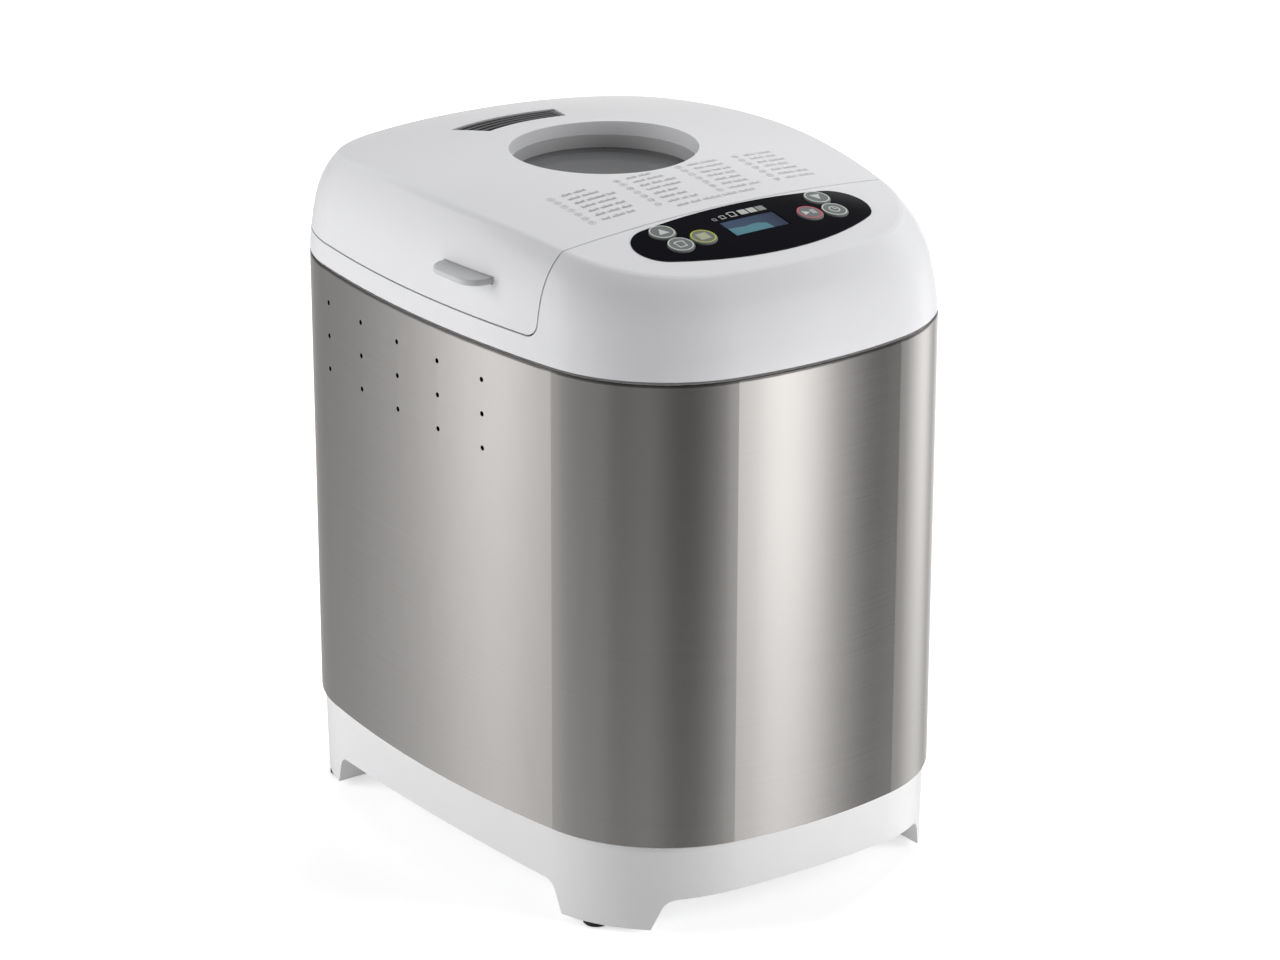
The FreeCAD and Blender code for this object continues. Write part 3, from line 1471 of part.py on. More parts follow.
# --- kneading drive ---------------------------------------------------------------------------
def bearing_housing():
    foot_top = chassis_top + housing_foot_height
    shelf = chamber_floor_z
    shelf_low = shelf - housing_shelf_height
    profile = [(bush_radius, chassis_top), (housing_foot_radius, chassis_top),
               (housing_foot_radius, foot_top), (housing_radius, foot_top + housing_step),
               (housing_radius, shelf_low - housing_step), (housing_shelf_radius, shelf_low),
               (housing_shelf_radius, shelf), (housing_radius, shelf), (housing_radius, housing_top),
               (bush_radius, housing_top)]
    return turned(profile, 0, chamber_y)


def shaft_bushes():
    return Part.makeCompound([tube(bush_radius, drive_shaft_radius + running_gap, 0, chamber_y,
                                   z, z + bush_length) for z in bush_levels])


def drive_shaft():
    return rod(drive_shaft_radius, 0, chamber_y, pulley_z, coupling_z + shaft_engagement)


def drive_coupling():
    hub = tube(coupling_radius, drive_shaft_radius, 0, chamber_y, coupling_z - coupling_skirt,
               coupling_z + coupling_hub_height)
    posts = [rod(coupling_post_radius, 0, chamber_y + side * coupling_post_offset,
                 coupling_z + shaft_engagement, wing_z + wing_height - coupling_post_short)
             for side in (-1, 1)]
    return joined([hub] + posts)


def pulley(radius, bore, y, hub_radius):
    top = pulley_z + pulley_height
    rim = radius + pulley_flange
    run = pulley_lip + pulley_lip_slope
    profile = [(bore, pulley_z), (rim, pulley_z), (rim, pulley_z + pulley_lip), (radius, pulley_z + run),
               (radius, top - run), (rim, top - pulley_lip), (rim, top), (bore, top)]
    wheel = turned(profile, 0, y)
    if radius <= 2 * hub_radius:
        return wheel
    # wide wheels are lightened: a thin web with holes, and a raised hub
    rim_inside = radius - pulley_rim
    middle = (rim_inside + hub_radius) / 2
    recess = tube(rim_inside, hub_radius, 0, y, pulley_z + pulley_web, top + cut_over)
    hub = tube(hub_radius, bore, 0, y, top - cut_over, top + pulley_hub_rise)
    holes = []
    for index in range(pulley_hole_count):
        angle = math.radians(90 + index * 360.0 / pulley_hole_count)
        holes.append(rod(middle / 3, middle * math.cos(angle), y + middle * math.sin(angle),
                         pulley_z - cut_over, top + cut_over))
    return joined([wheel.cut(recess), hub]).cut(Part.makeCompound(holes))


def loop_outline(grow, z):
    # round both pulleys, closed by the two outer tangents
    large = large_pulley_radius + grow
    small = small_pulley_radius + grow
    big_centre = V(0, chamber_y, z)
    small_centre = V(0, motor_y, z)
    sine = (large - small) / (chamber_y - motor_y)
    normal_right = V(math.sqrt(1 - sine ** 2), -sine, 0)
    normal_left = V(-normal_right.x, normal_right.y, 0)
    big_right = big_centre + normal_right * large
    big_left = big_centre + normal_left * large
    small_right = small_centre + normal_right * small
    small_left = small_centre + normal_left * small
    return Part.Wire([
        arc_through(big_right, big_centre + V(0, large, 0), big_left),
        Part.LineSegment(big_left, small_left).toShape(),
        arc_through(small_left, small_centre + V(0, -small, 0), small_right),
        Part.LineSegment(small_right, big_right).toShape(),
    ])


def drive_belt():
    z = pulley_z + (pulley_height - belt_width) / 2
    loop = plate(loop_outline(belt_gap + belt_thickness, z), belt_width)
    return loop.cut(plate(loop_outline(belt_gap, z), belt_width))


def chassis_holes():
    low = chassis_z - cut_over
    high = chassis_top + cut_over
    holes = [rod(chassis_shaft_hole, 0, motor_y, low, high)]
    holes.append(rod(bush_radius + cut_over, 0, chamber_y, low, high))
    holes += bolt_holes(low, high)
    holes += [rod(screw_radius + screw_clearance, x, y, low, high) for x, y in chassis_boss_places]
    holes += [round_block(chassis_slot_half_x, chassis_slot_half_y, chassis_slot_radius,
                          side * chassis_slot_x, chassis_slot_y, low, high) for side in (-1, 1)]
    return holes


def chassis_plate():
    main = round_block(chassis_half_width, (chassis_back - chassis_front) / 2, chassis_corner_radius,
                       0, (chassis_front + chassis_back) / 2, chassis_z, chassis_top)
    tongue = round_block(chassis_tongue_half, (chassis_tongue_reach + chassis_tongue_back) / 2,
                         chassis_tongue_radius, 0, motor_y + (chassis_tongue_back - chassis_tongue_reach) / 2,
                         chassis_z, chassis_top)
    return joined([main, tongue]).cut(Part.makeCompound(chassis_holes()))


def chassis_screws():
    head_top = chassis_thickness + screw_head_height
    profile = [(0, -screw_length), (screw_radius, -screw_length), (screw_radius, chassis_thickness),
               (screw_head_radius, chassis_thickness), (screw_head_radius, head_top), (0, head_top)]
    profile = [(r, chassis_z + z) for r, z in profile]
    return Part.makeCompound([turned(profile, x, y) for x, y in chassis_boss_places])


def chamber_standoffs():
    return Part.makeCompound([tube(standoff_radius, standoff_bore, x, y, chassis_top, chamber_floor_z)
                              for x, y in standoff_places])


# --- motor ------------------------------------------------------------------------------------
def bolt_holes(low, high):
    return [rod(motor_bolt_radius + motor_bolt_fit, x, y, low, high) for x, y in motor_bolt_places]


def motor_stator():
    stack = round_block(motor_half, motor_half, motor_corner_radius, 0, motor_y, motor_stack_z, stack_top)
    low = motor_stack_z - cut_over
    high = stack_top + cut_over
    holes = [rod(rotor_radius + motor_air_gap, 0, motor_y, low, high)] + bolt_holes(low, high)
    return stack.cut(Part.makeCompound(holes))


def motor_windings():
    inner = rotor_radius + winding_inside
    outer = motor_half - winding_outside
    soft = winding_chamfer
    rings = []
    for z0 in (motor_stack_z - winding_height, stack_top):
        z1 = z0 + winding_height
        profile = [(inner, z0 + soft), (inner + soft, z0), (outer - soft, z0), (outer, z0 + soft),
                   (outer, z1 - soft), (outer - soft, z1), (inner + soft, z1), (inner, z1 - soft)]
        rings.append(turned(profile, 0, motor_y))
    return Part.makeCompound(rings)


def motor_cover(z_stack, z_end):
    # cup over one end of the stack, with a bearing boss and slots for air
    low, high = sorted((z_stack, z_end))
    upper = z_end > z_stack
    wall = motor_cover_wall
    half = motor_half - motor_cover_inset
    corner = motor_corner_radius - motor_cover_inset
    cup = round_block(half, half, corner, 0, motor_y, low, high)
    hollow_low = low - cut_over if upper else low + wall
    hollow_high = high - wall if upper else high + cut_over
    cup = cup.cut(round_block(half - wall, half - wall, corner - wall, 0, motor_y, hollow_low, hollow_high))
    boss_low = high - motor_boss_length if upper else low
    cup = joined([cup, rod(motor_cover_boss, 0, motor_y, boss_low, boss_low + motor_boss_length)])
    cuts = bolt_holes(low - cut_over, high + cut_over)
    cuts.append(rod(motor_shaft_radius + running_gap, 0, motor_y, low - cut_over, high + cut_over))
    slot_z = (low + high - motor_slot_height) / 2
    for side in (-1, 1):
        y = motor_y + side * (half - wall)
        cuts.append(box(-motor_slot_half, motor_slot_half, y - motor_slot_reach, y + motor_slot_reach,
                        slot_z, slot_z + motor_slot_height))
    return cup.cut(Part.makeCompound(cuts))


def motor_rotor():
    core = rod(rotor_radius, 0, motor_y, motor_stack_z - rotor_overhang, stack_top + rotor_overhang)
    shaft = rod(motor_shaft_radius, 0, motor_y, pulley_z, motor_top + motor_shaft_top)
    return joined([core, shaft])


def motor_fan():
    z0 = motor_top + fan_rise
    hub = tube(fan_hub_radius, motor_shaft_radius, 0, motor_y, z0, z0 + fan_hub_height)
    disc = tube(fan_disc_radius, motor_shaft_radius, 0, motor_y, z0, z0 + fan_disc_thickness)
    half = fan_blade_thickness / 2
    blades = []
    for index in range(fan_blade_count):
        blade = box(fan_blade_root, fan_blade_reach, motor_y - half, motor_y + half,
                    z0, z0 + fan_blade_height)
        blade.rotate(V(0, motor_y, 0), Z_AXIS, index * 360.0 / fan_blade_count)
        blades.append(blade)
    return joined([hub, disc] + blades)


def motor_bolts():
    bolts = []
    for x, y in motor_bolt_places:
        shank = rod(motor_bolt_radius, x, y, chassis_z - motor_nut_height - cut_over, motor_top)
        head = rod(motor_bolt_head, x, y, motor_top, motor_top + motor_bolt_head_height)
        nut = rod(motor_bolt_head, x, y, chassis_z - motor_nut_height, chassis_z)
        bolts.append(joined([shank, head, nut]))
    return Part.makeCompound(bolts)


# --- power electronics ----------------------------------------------------------------------------
def power_board():
    face = power_board_x + board_thickness
    board = box(power_board_x, face, power_board_y0, power_board_y1, chassis_top,
                chassis_top + power_board_height)
    half = power_board_foot_half
    tabs = [box(face, face + power_board_foot, y - half, y + half, chassis_top,
                chassis_top + chassis_thickness)
            for y in (power_board_y0 + power_board_foot_inset, power_board_y1 - power_board_foot_inset)]
    return joined([board] + tabs)


def transformer():
    z0 = chassis_top + transformer_rise
    z1 = z0 + transformer_height
    y0 = power_board_y0 + transformer_inset
    y1 = power_board_y1 - transformer_inset
    core = box(power_board_x - transformer_depth, power_board_x, y0, y1, z0, z1)
    coil = box(power_board_x - transformer_depth - coil_margin, power_board_x,
               y0 + coil_margin, y1 - coil_margin, z0 + coil_inset, z1 - coil_inset)
    return joined([core, coil])


def relays():
    cases = []
    for index in range(relay_count):
        z = chassis_top + relay_rise + index * relay_pitch
        cases.append(box(power_board_x - relay_depth, power_board_x, power_board_y0 + relay_inset_front,
                         power_board_y1 - relay_inset_back, z, z + relay_height))
    return Part.makeCompound(cases)


def motor_capacitor():
    x = capacitor_x
    y = capacitor_y
    top = chassis_top + capacitor_height
    can = rod(capacitor_radius, x, y, chassis_top, top)
    edges = [edge for edge in can.Edges if edge.BoundBox.ZMin > top - edge_tolerance]
    can = can.makeFillet(capacitor_edge, edges)
    terminals = []
    for side in (-1, 1):
        middle = x + side * capacitor_terminal_offset
        terminals.append(box(middle - capacitor_terminal_sheet / 2, middle + capacitor_terminal_sheet / 2,
                             y - capacitor_terminal_half, y + capacitor_terminal_half,
                             top - cut_over, top + capacitor_terminal_height))
    return joined([can] + terminals)


# --- the set of pieces ------------------------------------------------------------------------------
pieces = {
    "base": base,
    "rubber_feet": rubber_feet,
    "steel_wrap": steel_wrap,
    "top_frame": top_frame,
    "cord_bush": cord_bush,
    "lid": lid,
    "lid_liner": lid_liner,
    "liner_screws": liner_screws,
    "window_ring": window_ring,
    "window_glass": window_glass,
    "steam_vent": steam_vent,
    "left_finger_tab": lambda: finger_tab(-1),
    "right_finger_tab": lambda: finger_tab(1),
    "hinge_pins": hinge_pins,
    "control_overlay": control_overlay,
    "display_window": display_window,
    "lcd_module": lcd_module,
    "control_board": control_board,
    "tact_switches": tact_switches,
    "oven_chamber": oven_chamber,
    "heating_element": heating_element,
    "element_bushes": element_bushes,
    "element_clips": element_clips,
    "temperature_sensor": temperature_sensor,
    "thermal_fuse": thermal_fuse,
    "pan_clips": pan_clips,
    "bread_pan": bread_pan,
    "pan_foot": pan_foot,
    "pan_bearing": pan_bearing,
    "pan_handle": pan_handle,
    "pan_shaft": pan_shaft,
    "kneading_paddle": kneading_paddle,
    "bearing_housing": bearing_housing,
    "shaft_bushes": shaft_bushes,
    "drive_shaft": drive_shaft,
    "drive_coupling": drive_coupling,
    "large_pulley": lambda: pulley(large_pulley_radius, drive_shaft_radius, chamber_y,
                                    large_pulley_hub),
    "small_pulley": lambda: pulley(small_pulley_radius, motor_shaft_radius, motor_y,
                                    small_pulley_hub),
    "drive_belt": drive_belt,
    "chassis_plate": chassis_plate,
    "chassis_screws": chassis_screws,
    "chamber_standoffs": chamber_standoffs,
    "motor_stator": motor_stator,
    "motor_windings": motor_windings,
    "motor_lower_cover": lambda: motor_cover(motor_stack_z, chassis_top),
    "motor_upper_cover": lambda: motor_cover(stack_top, motor_top),
    "motor_rotor": motor_rotor,
    "motor_fan": motor_fan,
    "motor_bolts": motor_bolts,
    "power_board": power_board,
    "transformer": transformer,
    "relays": relays,
    "motor_capacitor": motor_capacitor,
}
for button_name, (button_x, button_y) in button_places.items():
    pieces[button_name] = lambda x=button_x, y=button_y: button(x, y)

os.makedirs("parts", exist_ok=True)
for piece_name, make_piece in pieces.items():
    shape = make_piece()
    shape.exportStep("parts/%s.step" % piece_name)
    print("%-20s solids %d  volume %.1f cm3" % (piece_name, len(shape.Solids), shape.Volume / 1000))
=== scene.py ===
import json
import math
import bpy
import numpy as np
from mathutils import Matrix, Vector


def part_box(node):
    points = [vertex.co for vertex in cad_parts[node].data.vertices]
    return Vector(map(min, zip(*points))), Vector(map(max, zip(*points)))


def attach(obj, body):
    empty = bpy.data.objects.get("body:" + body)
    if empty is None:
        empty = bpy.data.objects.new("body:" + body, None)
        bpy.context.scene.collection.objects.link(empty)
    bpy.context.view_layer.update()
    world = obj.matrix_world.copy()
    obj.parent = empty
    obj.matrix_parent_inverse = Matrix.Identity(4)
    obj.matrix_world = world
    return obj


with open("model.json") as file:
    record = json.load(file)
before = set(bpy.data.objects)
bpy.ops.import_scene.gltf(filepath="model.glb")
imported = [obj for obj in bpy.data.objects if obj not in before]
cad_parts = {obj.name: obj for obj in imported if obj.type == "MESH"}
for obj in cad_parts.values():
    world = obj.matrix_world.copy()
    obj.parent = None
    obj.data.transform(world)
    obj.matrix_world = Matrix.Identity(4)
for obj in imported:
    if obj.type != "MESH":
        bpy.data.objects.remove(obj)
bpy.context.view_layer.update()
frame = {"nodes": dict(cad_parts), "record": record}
nodes = frame["nodes"]
scene = bpy.context.scene
print("frame loaded:", len(nodes), "nodes")

# sizes and places are in metres throughout, angles in degrees
camera = dict(azimuth=-36.61, elevation=20.514, place=(-1.2472, -1.6951, 0.9474), lens=137.35, sensor=36.0,
              clipStart=0.05, clipEnd=30.0)


def makeCamera():
    # back is the direction from the machine to the camera
    az = math.radians(camera["azimuth"])
    el = math.radians(camera["elevation"])
    back = Vector((math.sin(az) * math.cos(el), -math.cos(az) * math.cos(el), math.sin(el)))
    data = bpy.data.cameras.new("viewCamera")
    data.lens = camera["lens"]
    data.sensor_width = camera["sensor"]
    data.clip_start = camera["clipStart"]
    data.clip_end = camera["clipEnd"]
    obj = bpy.data.objects.new("viewCamera", data)
    obj.location = camera["place"]
    obj.rotation_euler = (-back).to_track_quat("-Z", "Y").to_euler()
    scene.collection.objects.link(obj)
    scene.camera = obj


makeCamera()
scene.view_settings.view_transform = "Standard"
print("camera set")


# shader maths: a Wire is a node's output that can be added, multiplied and so on
class Wire:
    def __init__(self, shader, socket):
        self.shader = shader
        self.socket = socket

    def maths(self, operation, other, swapped=False):
        pair = (other, self) if swapped else (self, other)
        vectors = any(isinstance(p, Wire) and p.socket.type in ("VECTOR", "RGBA") for p in pair)
        kind = "ShaderNodeVectorMath" if vectors else "ShaderNodeMath"
        return self.shader.add(kind, dict(operation=operation), {0: pair[0], 1: pair[1]}).out(0)

    def __add__(self, other):
        return self.maths("ADD", other)

    def __radd__(self, other):
        return self.maths("ADD", other, True)

    def __sub__(self, other):
        return self.maths("SUBTRACT", other)

    def __rsub__(self, other):
        return self.maths("SUBTRACT", other, True)

    def __mul__(self, other):
        return self.maths("MULTIPLY", other)

    def __rmul__(self, other):
        return self.maths("MULTIPLY", other, True)

    def under(self, limit):
        return self.maths("LESS_THAN", limit)

    def power(self, exponent):
        return self.maths("POWER", exponent)

    def blend(self, low, high):
        # low where this is 0, high where it is 1; numbers or colours
        if isinstance(low, (int, float)) and isinstance(high, (int, float)):
            return self * (high - low) + low
        mix = self.shader.add("ShaderNodeMix", dict(data_type="RGBA"), {"Factor": self, 6: low, 7: high})
        return mix.out(2)


class Added:
    def __init__(self, shader, node):
        self.shader = shader
        self.node = node

    def out(self, key):
        return Wire(self.shader, self.node.outputs[key])


class Shader:
    # a node tree being filled; add() makes any node from its type, settings and socket values or links
    def __init__(self, tree):
        self.tree = tree

    def add(self, kind, settings=None, sockets=None):
        node = self.tree.nodes.new(kind)
        for key, value in (settings or {}).items():
            setattr(node, key, value)
        for key, value in (sockets or {}).items():
            self.feed(node.inputs[key], value)
        return Added(self, node)

    def feed(self, socket, value):
        if isinstance(value, Wire):
            self.tree.links.new(value.socket, socket)
        elif socket.type == "RGBA" and len(value) == 3:
            socket.default_value = (*value, 1.0)
        else:
            socket.default_value = value

    def coords(self, scale=(1, 1, 1)):
        place = self.add("ShaderNodeTexCoord").out("Object")
        return self.add("ShaderNodeMapping", None, {"Vector": place, "Scale": scale}).out(0)

    def axis(self, letter):
        place = self.add("ShaderNodeTexCoord").out("Object")
        return self.add("ShaderNodeSeparateXYZ", None, {0: place}).out("XYZ".index(letter))

    def values(self, name, output="Fac"):
        # a number that each point of the piece carries
        return self.add("ShaderNodeAttribute", dict(attribute_name=name)).out(output)

    def noise(self, scale, detail=2.0, rough=0.5, stretch=(1, 1, 1)):
        return self.add("ShaderNodeTexNoise", None, {"Vector": self.coords(stretch), "Scale": scale,
                                                     "Detail": detail, "Roughness": rough}).out("Fac")

    def cells(self, scale):
        node = self.add("ShaderNodeTexVoronoi", None, {"Vector": self.coords(), "Scale": scale})
        return node.out("Distance")

    def layers(self, scale, profile, waver):
        # bands stacked up the z axis
        bands = dict(wave_type="BANDS", bands_direction="Z", wave_profile=profile)
        return self.add("ShaderNodeTexWave", bands, {"Vector": self.coords(), "Scale": scale,
                                                     "Distortion": waver}).out("Fac")


class Finish(Shader):
    # one material; constants are sockets that stay the same all over, with _ for a space
    def __init__(self, name, **constants):
        self.material = bpy.data.materials.new(name)
        self.material.use_nodes = True
        super().__init__(self.material.node_tree)
        self.bsdf = self.tree.nodes["Principled BSDF"]
        for key, value in constants.items():
            self.bsdf.inputs[key.replace("_", " ")].default_value = value

    def surface(self, key, value):
        self.feed(self.bsdf.inputs[key], value)

    def color(self, value):
        self.surface("Base Color", value)

    def rough(self, level, *swings):
        # a level and, about it, the swing of each (wire, amount)
        for wire, amount in swings:
            level = (wire - 0.5) * amount + level
        self.surface("Roughness", level)

    def bump(self, height, depth, strength=1.0):
        node = self.add("ShaderNodeBump", None, {"Height": height, "Distance": depth, "Strength": strength})
        self.surface("Normal", node.out("Normal"))


def scaled(tone, share):
    return tuple(t * share for t in tone)


# looks: ...Scale sizes a pattern, the larger the finer; ...Sheen is how far it swings the roughness; depth is
# its relief in metres, bump how strongly that shows; shade is the darker tone, as a colour or a share of tone
plasticLook = dict(shade=0.9, cloudScale=20.0, grainScale=1800.0, grain=0.6, cloudSheen=0.04, grainSheen=0.08,
                   depth=0.00001, bump=0.4, ior=1.48)


def makePlastic(name, tone, rough, **changes):
    # moulded skin with faint clouds and a fine grain
    look = dict(plasticLook, **changes)
    s = Finish(name, IOR=look["ior"])
    cloud = s.noise(look["cloudScale"])
    grain = s.noise(look["grainScale"], rough=look["grain"])
    shade = look["shade"] if isinstance(look["shade"], tuple) else scaled(tone, look["shade"])
    s.color(cloud.blend(shade, tone))
    s.rough(rough, (grain, look["grainSheen"]), (cloud, look["cloudSheen"]))
    s.bump(grain, look["depth"], look["bump"])
    return s.material


metalLook = dict(shade=0.9, cloudScale=45.0, grainScale=900.0, grain=0.6, cloudSheen=0.12, grainSheen=0.06,
                 depth=0.000004, bump=0.6, metallic=1.0)


def makeMetal(name, tone, rough, **changes):
    # plain machined or plated metal with faint cloudy staining
    look = dict(metalLook, **changes)
    s = Finish(name, Metallic=look["metallic"])
    cloud = s.noise(look["cloudScale"], detail=4.0, rough=look["grain"])
    grain = s.noise(look["grainScale"], detail=3.0, rough=look["grain"])
    s.color(cloud.blend(scaled(tone, look["shade"]), tone))
    s.rough(rough, (cloud, look["cloudSheen"]), (grain, look["grainSheen"]))
    s.bump(grain, look["depth"], look["bump"])
    return s.material


brushedLook = dict(light=(0.664, 0.650, 0.638), dark=(0.558, 0.544, 0.533), rough=0.235, roundScale=5.0,
                   fineScale=7000.0, coarseScale=2400.0, grain=0.6, patchScale=14.0, grainSheen=0.10,
                   patchSheen=0.04, fineShare=0.7, depth=0.0000016)


def makeBrushedSteel(name, look):
    # grain: noise squeezed in height and drawn out round the body
    s = Finish(name, Metallic=1.0)
    wide = look["roundScale"]
    fine = s.noise(1.0, 2.0, look["grain"], stretch=(wide, wide, look["fineScale"]))
    coarse = s.noise(1.0, 3.0, look["grain"], stretch=(wide * 2, wide * 2, look["coarseScale"]))
    patch = s.noise(look["patchScale"])
    grain = fine * 0.5 + coarse * 0.5
    s.color(grain.blend(look["dark"], look["light"]))
    s.rough(look["rough"], (grain, look["grainSheen"]), (patch, look["patchSheen"]))
    s.bump(fine * look["fineShare"] + coarse * (1.0 - look["fineShare"]), look["depth"])
    return s.material


coatingLook = dict(dark=(0.030, 0.030, 0.032), light=(0.046, 0.046, 0.049), fleck=(0.16, 0.16, 0.165),
                   rough=0.35, cloudScale=30.0, fleckScale=420.0, fleckReach=0.13, fleckSheen=0.08,
                   peelScale=900.0, peelSheen=0.1, depth=0.00003, bump=0.35)


def makeCoating(name, look):
    # dark non-stick coat with pale flecks and a slight orange-peel surface
    s = Finish(name, IOR=1.5)
    flecks = s.cells(look["fleckScale"]).under(look["fleckReach"])
    cloud = s.noise(look["cloudScale"], detail=3.0)
    s.color(flecks.blend(cloud.blend(look["dark"], look["light"]), look["fleck"]))
    peel = s.noise(look["peelScale"])
    s.rough(flecks * look["fleckSheen"] + look["rough"], (peel, look["peelSheen"]))
    s.bump(peel, look["depth"], look["bump"])
    return s.material


glassLook = dict(shade=0.92, smearScale=26.0, smear=0.03)


def makeTintedGlass(name, tint, alpha, rough):
    # alpha is how far the pane covers what lies behind it; a faint smear adds to that and to the roughness
    look = glassLook
    s = Finish(name, IOR=1.5)
    smear = s.noise(look["smearScale"], detail=3.0)
    s.color(smear.blend(scaled(tint, look["shade"]), tint))
    s.rough(smear * look["smear"] + rough)
    s.surface("Alpha", smear * look["smear"] + alpha)
    s.material.surface_render_method = "DITHERED"
    return s.material


woundLook = dict(tone=(0.62, 0.27, 0.12), shade=0.55, rough=0.33, turnScale=420.0, waver=0.6, turnSheen=0.1,
                 depth=0.0002, bump=0.8)


def makeWound(name, look):
    # enamelled wire: fine turns stacked up the coil, darker between them as painted shade in the grooves
    s = Finish(name, Metallic=0.8)
    turnsAndGrooveShade = s.layers(look["turnScale"], "SIN", look["waver"])
    # painted shade: the troughs between turns darken to shade times the tone
    s.color(turnsAndGrooveShade.blend(scaled(look["tone"], look["shade"]), look["tone"]))
    s.rough(look["rough"], (turnsAndGrooveShade, look["turnSheen"]))
    s.bump(turnsAndGrooveShade, look["depth"], look["bump"])
    return s.material


laminatedLook = dict(tone=(0.30, 0.31, 0.33), shade=0.6, rough=0.52, sheetScale=320.0, waver=0.1,
                     sheetShare=0.4, cloudScale=60.0, cloudSheen=0.2, depth=0.0001, bump=0.6)


def makeLaminated(name, look):
    # stacked sheets: fine dark lines across the stack
    s = Finish(name, Metallic=0.9)
    sheets = s.layers(look["sheetScale"], "SAW", look["waver"])
    cloud = s.noise(look["cloudScale"], detail=3.0)
    mixed = sheets * look["sheetShare"] + cloud * (1.0 - look["sheetShare"])
    s.color(mixed.blend(scaled(look["tone"], look["shade"]), look["tone"]))
    s.rough(look["rough"], (cloud, look["cloudSheen"]))
    s.bump(sheets, look["depth"], look["bump"])
    return s.material


boardLook = dict(tone=(0.02, 0.11, 0.045), tracks=1.6, rough=0.34, trackScale=90.0, trackGap=0.06,
                 cloudScale=60.0, cloudSheen=0.08, depth=0.00004, bump=0.5)


def makeBoard(name, look):
    # green mask with copper tracks showing as a lighter maze
    s = Finish(name, IOR=1.5)
    maze = s.add("ShaderNodeTexBrick", None, {"Vector": s.coords(), "Scale": look["trackScale"],
                                              "Mortar Size": look["trackGap"]}).out("Fac")
    cloud = s.noise(look["cloudScale"])
    s.color(maze.blend(look["tone"], scaled(look["tone"], look["tracks"])))
    s.rough(look["rough"], (cloud, look["cloudSheen"]))
    s.bump(maze, look["depth"], look["bump"])
    return s.material


whiteLook = dict(shade=(0.765, 0.768, 0.785), cloudScale=9.0, grainScale=2600.0, cloudSheen=0.05,
                 grainSheen=0.05, depth=0.000006, bump=0.35)
finishes = {  # by the slots of the frame
    "white_plastic": makePlastic("whiteMoulding", (0.80, 0.80, 0.815), 0.25, **whiteLook),
    "stainless_steel": makeBrushedSteel("brushedWrap", brushedLook),
    "black_gloss_panel": makePlastic("glossPanel", (0.003, 0.003, 0.006), 0.10, grainScale=400.0,
                                     depth=0.000002, ior=1.42),
    "grey_plastic": makePlastic("greyMoulding", (0.64, 0.645, 0.65), 0.32),
    "dark_polymer": makePlastic("darkMoulding", (0.045, 0.046, 0.05), 0.42),
    "black_rubber": makePlastic("footRubber", (0.012, 0.012, 0.013), 0.65, grainScale=900.0, depth=0.00006),
    "clear_window": makeTintedGlass("windowGlass", (0.15, 0.152, 0.155), alpha=0.86, rough=0.10),
    "display": makeTintedGlass("displayPane", (0.006, 0.02, 0.05), alpha=0.34, rough=0.03),
    "button_plastic": makePlastic("buttonCap", (0.195, 0.205, 0.206), 0.18),
    "circuit_board": makeBoard("greenBoard", boardLook),
    "plated_steel": makeMetal("aluminisedSheet", (0.58, 0.585, 0.59), 0.43, grainScale=700.0, depth=0.00001),
    "zinc_steel": makeMetal("zincPlate", (0.62, 0.63, 0.645), 0.33),
    "heater_sheath": makeMetal("heaterSheath", (0.11, 0.10, 0.098), 0.58, grainScale=700.0, depth=0.00001,
                               cloudSheen=0.15, shade=0.7, metallic=0.6),
    "ceramic": makePlastic("ceramicBush", (0.72, 0.70, 0.66), 0.55, grainScale=1200.0, depth=0.00002),
    "nonstick_coating": makeCoating("nonStick", coatingLook),
    "cast_aluminium": makeMetal("castAluminium", (0.60, 0.61, 0.62), 0.45, grainScale=500.0, depth=0.00003),
    "sintered_bronze": makeMetal("oiledBronze", (0.45, 0.30, 0.15), 0.48, grainScale=1400.0, depth=0.00001),
    "lamination_steel": makeLaminated("laminatedSteel", laminatedLook),
    "copper": makeWound("woundCopper", woundLook),
}
ownFinishes = {  # nodes whose finish differs from the rest of their slot
    "window_ring": makePlastic("windowSeat", (0.54, 0.54, 0.55), 0.22),
    "steam_vent": makePlastic("ventGrille", (0.13, 0.13, 0.135), 0.42),
    # the base is the same white moulding, its tone raised as painted light to brighten it
    "base": makePlastic("basePaintedLight", (0.87, 0.87, 0.88), 0.25, **dict(whiteLook, shade=(0.84, 0.84, 0.85))),
}
for row in frame["record"]["subparts"]:
    mesh = nodes[row["node"]].data
    mesh.materials.clear()
    mesh.materials.append(ownFinishes.get(row["node"], finishes[row["material_slot"]]))
print("finishes on", len(nodes), "nodes")


def newPiece(name, points, faces):
    mesh = bpy.data.meshes.new(name)
    mesh.from_pydata(points.tolist(), [], faces.tolist())
    mesh.update()
    obj = bpy.data.objects.new(name, mesh)
    scene.collection.objects.link(obj)
    return obj


def gridFaces(rows, columns, closed=False):
    # quads between points stored row by row; a closed grid joins its last column to its first
    i = np.arange(rows - 1)[:, None] * columns
    j = np.arange(columns if closed else columns - 1)[None, :]
    k = (j + 1) % columns
    return np.stack([i + j, i + k, i + columns + k, i + columns + j], axis=-1).reshape(-1, 4)


def addValues(obj, name, values):
    # one number on each point, for a material to read
    attribute = obj.data.attributes.new(name, "FLOAT", "POINT")
    attribute.data.foreach_set("value", values.ravel().astype(np.float32))


# the dome's skin: a shallow arc across, turned about a low cross axis
dome = dict(crown=0.3183, along=0.573, across=0.872, middle=0.0039)


def domeHeight(x, y, lift):
    # drop of the cross arc at x, then the height of the along arc shrunk by that drop, plus the lift
    drop = dome["across"] - np.sqrt(dome["across"] ** 2 - x ** 2)
    axis = dome["crown"] - dome["along"]
    return axis + np.sqrt((dome["along"] - drop) ** 2 - (y - dome["middle"]) ** 2) + lift


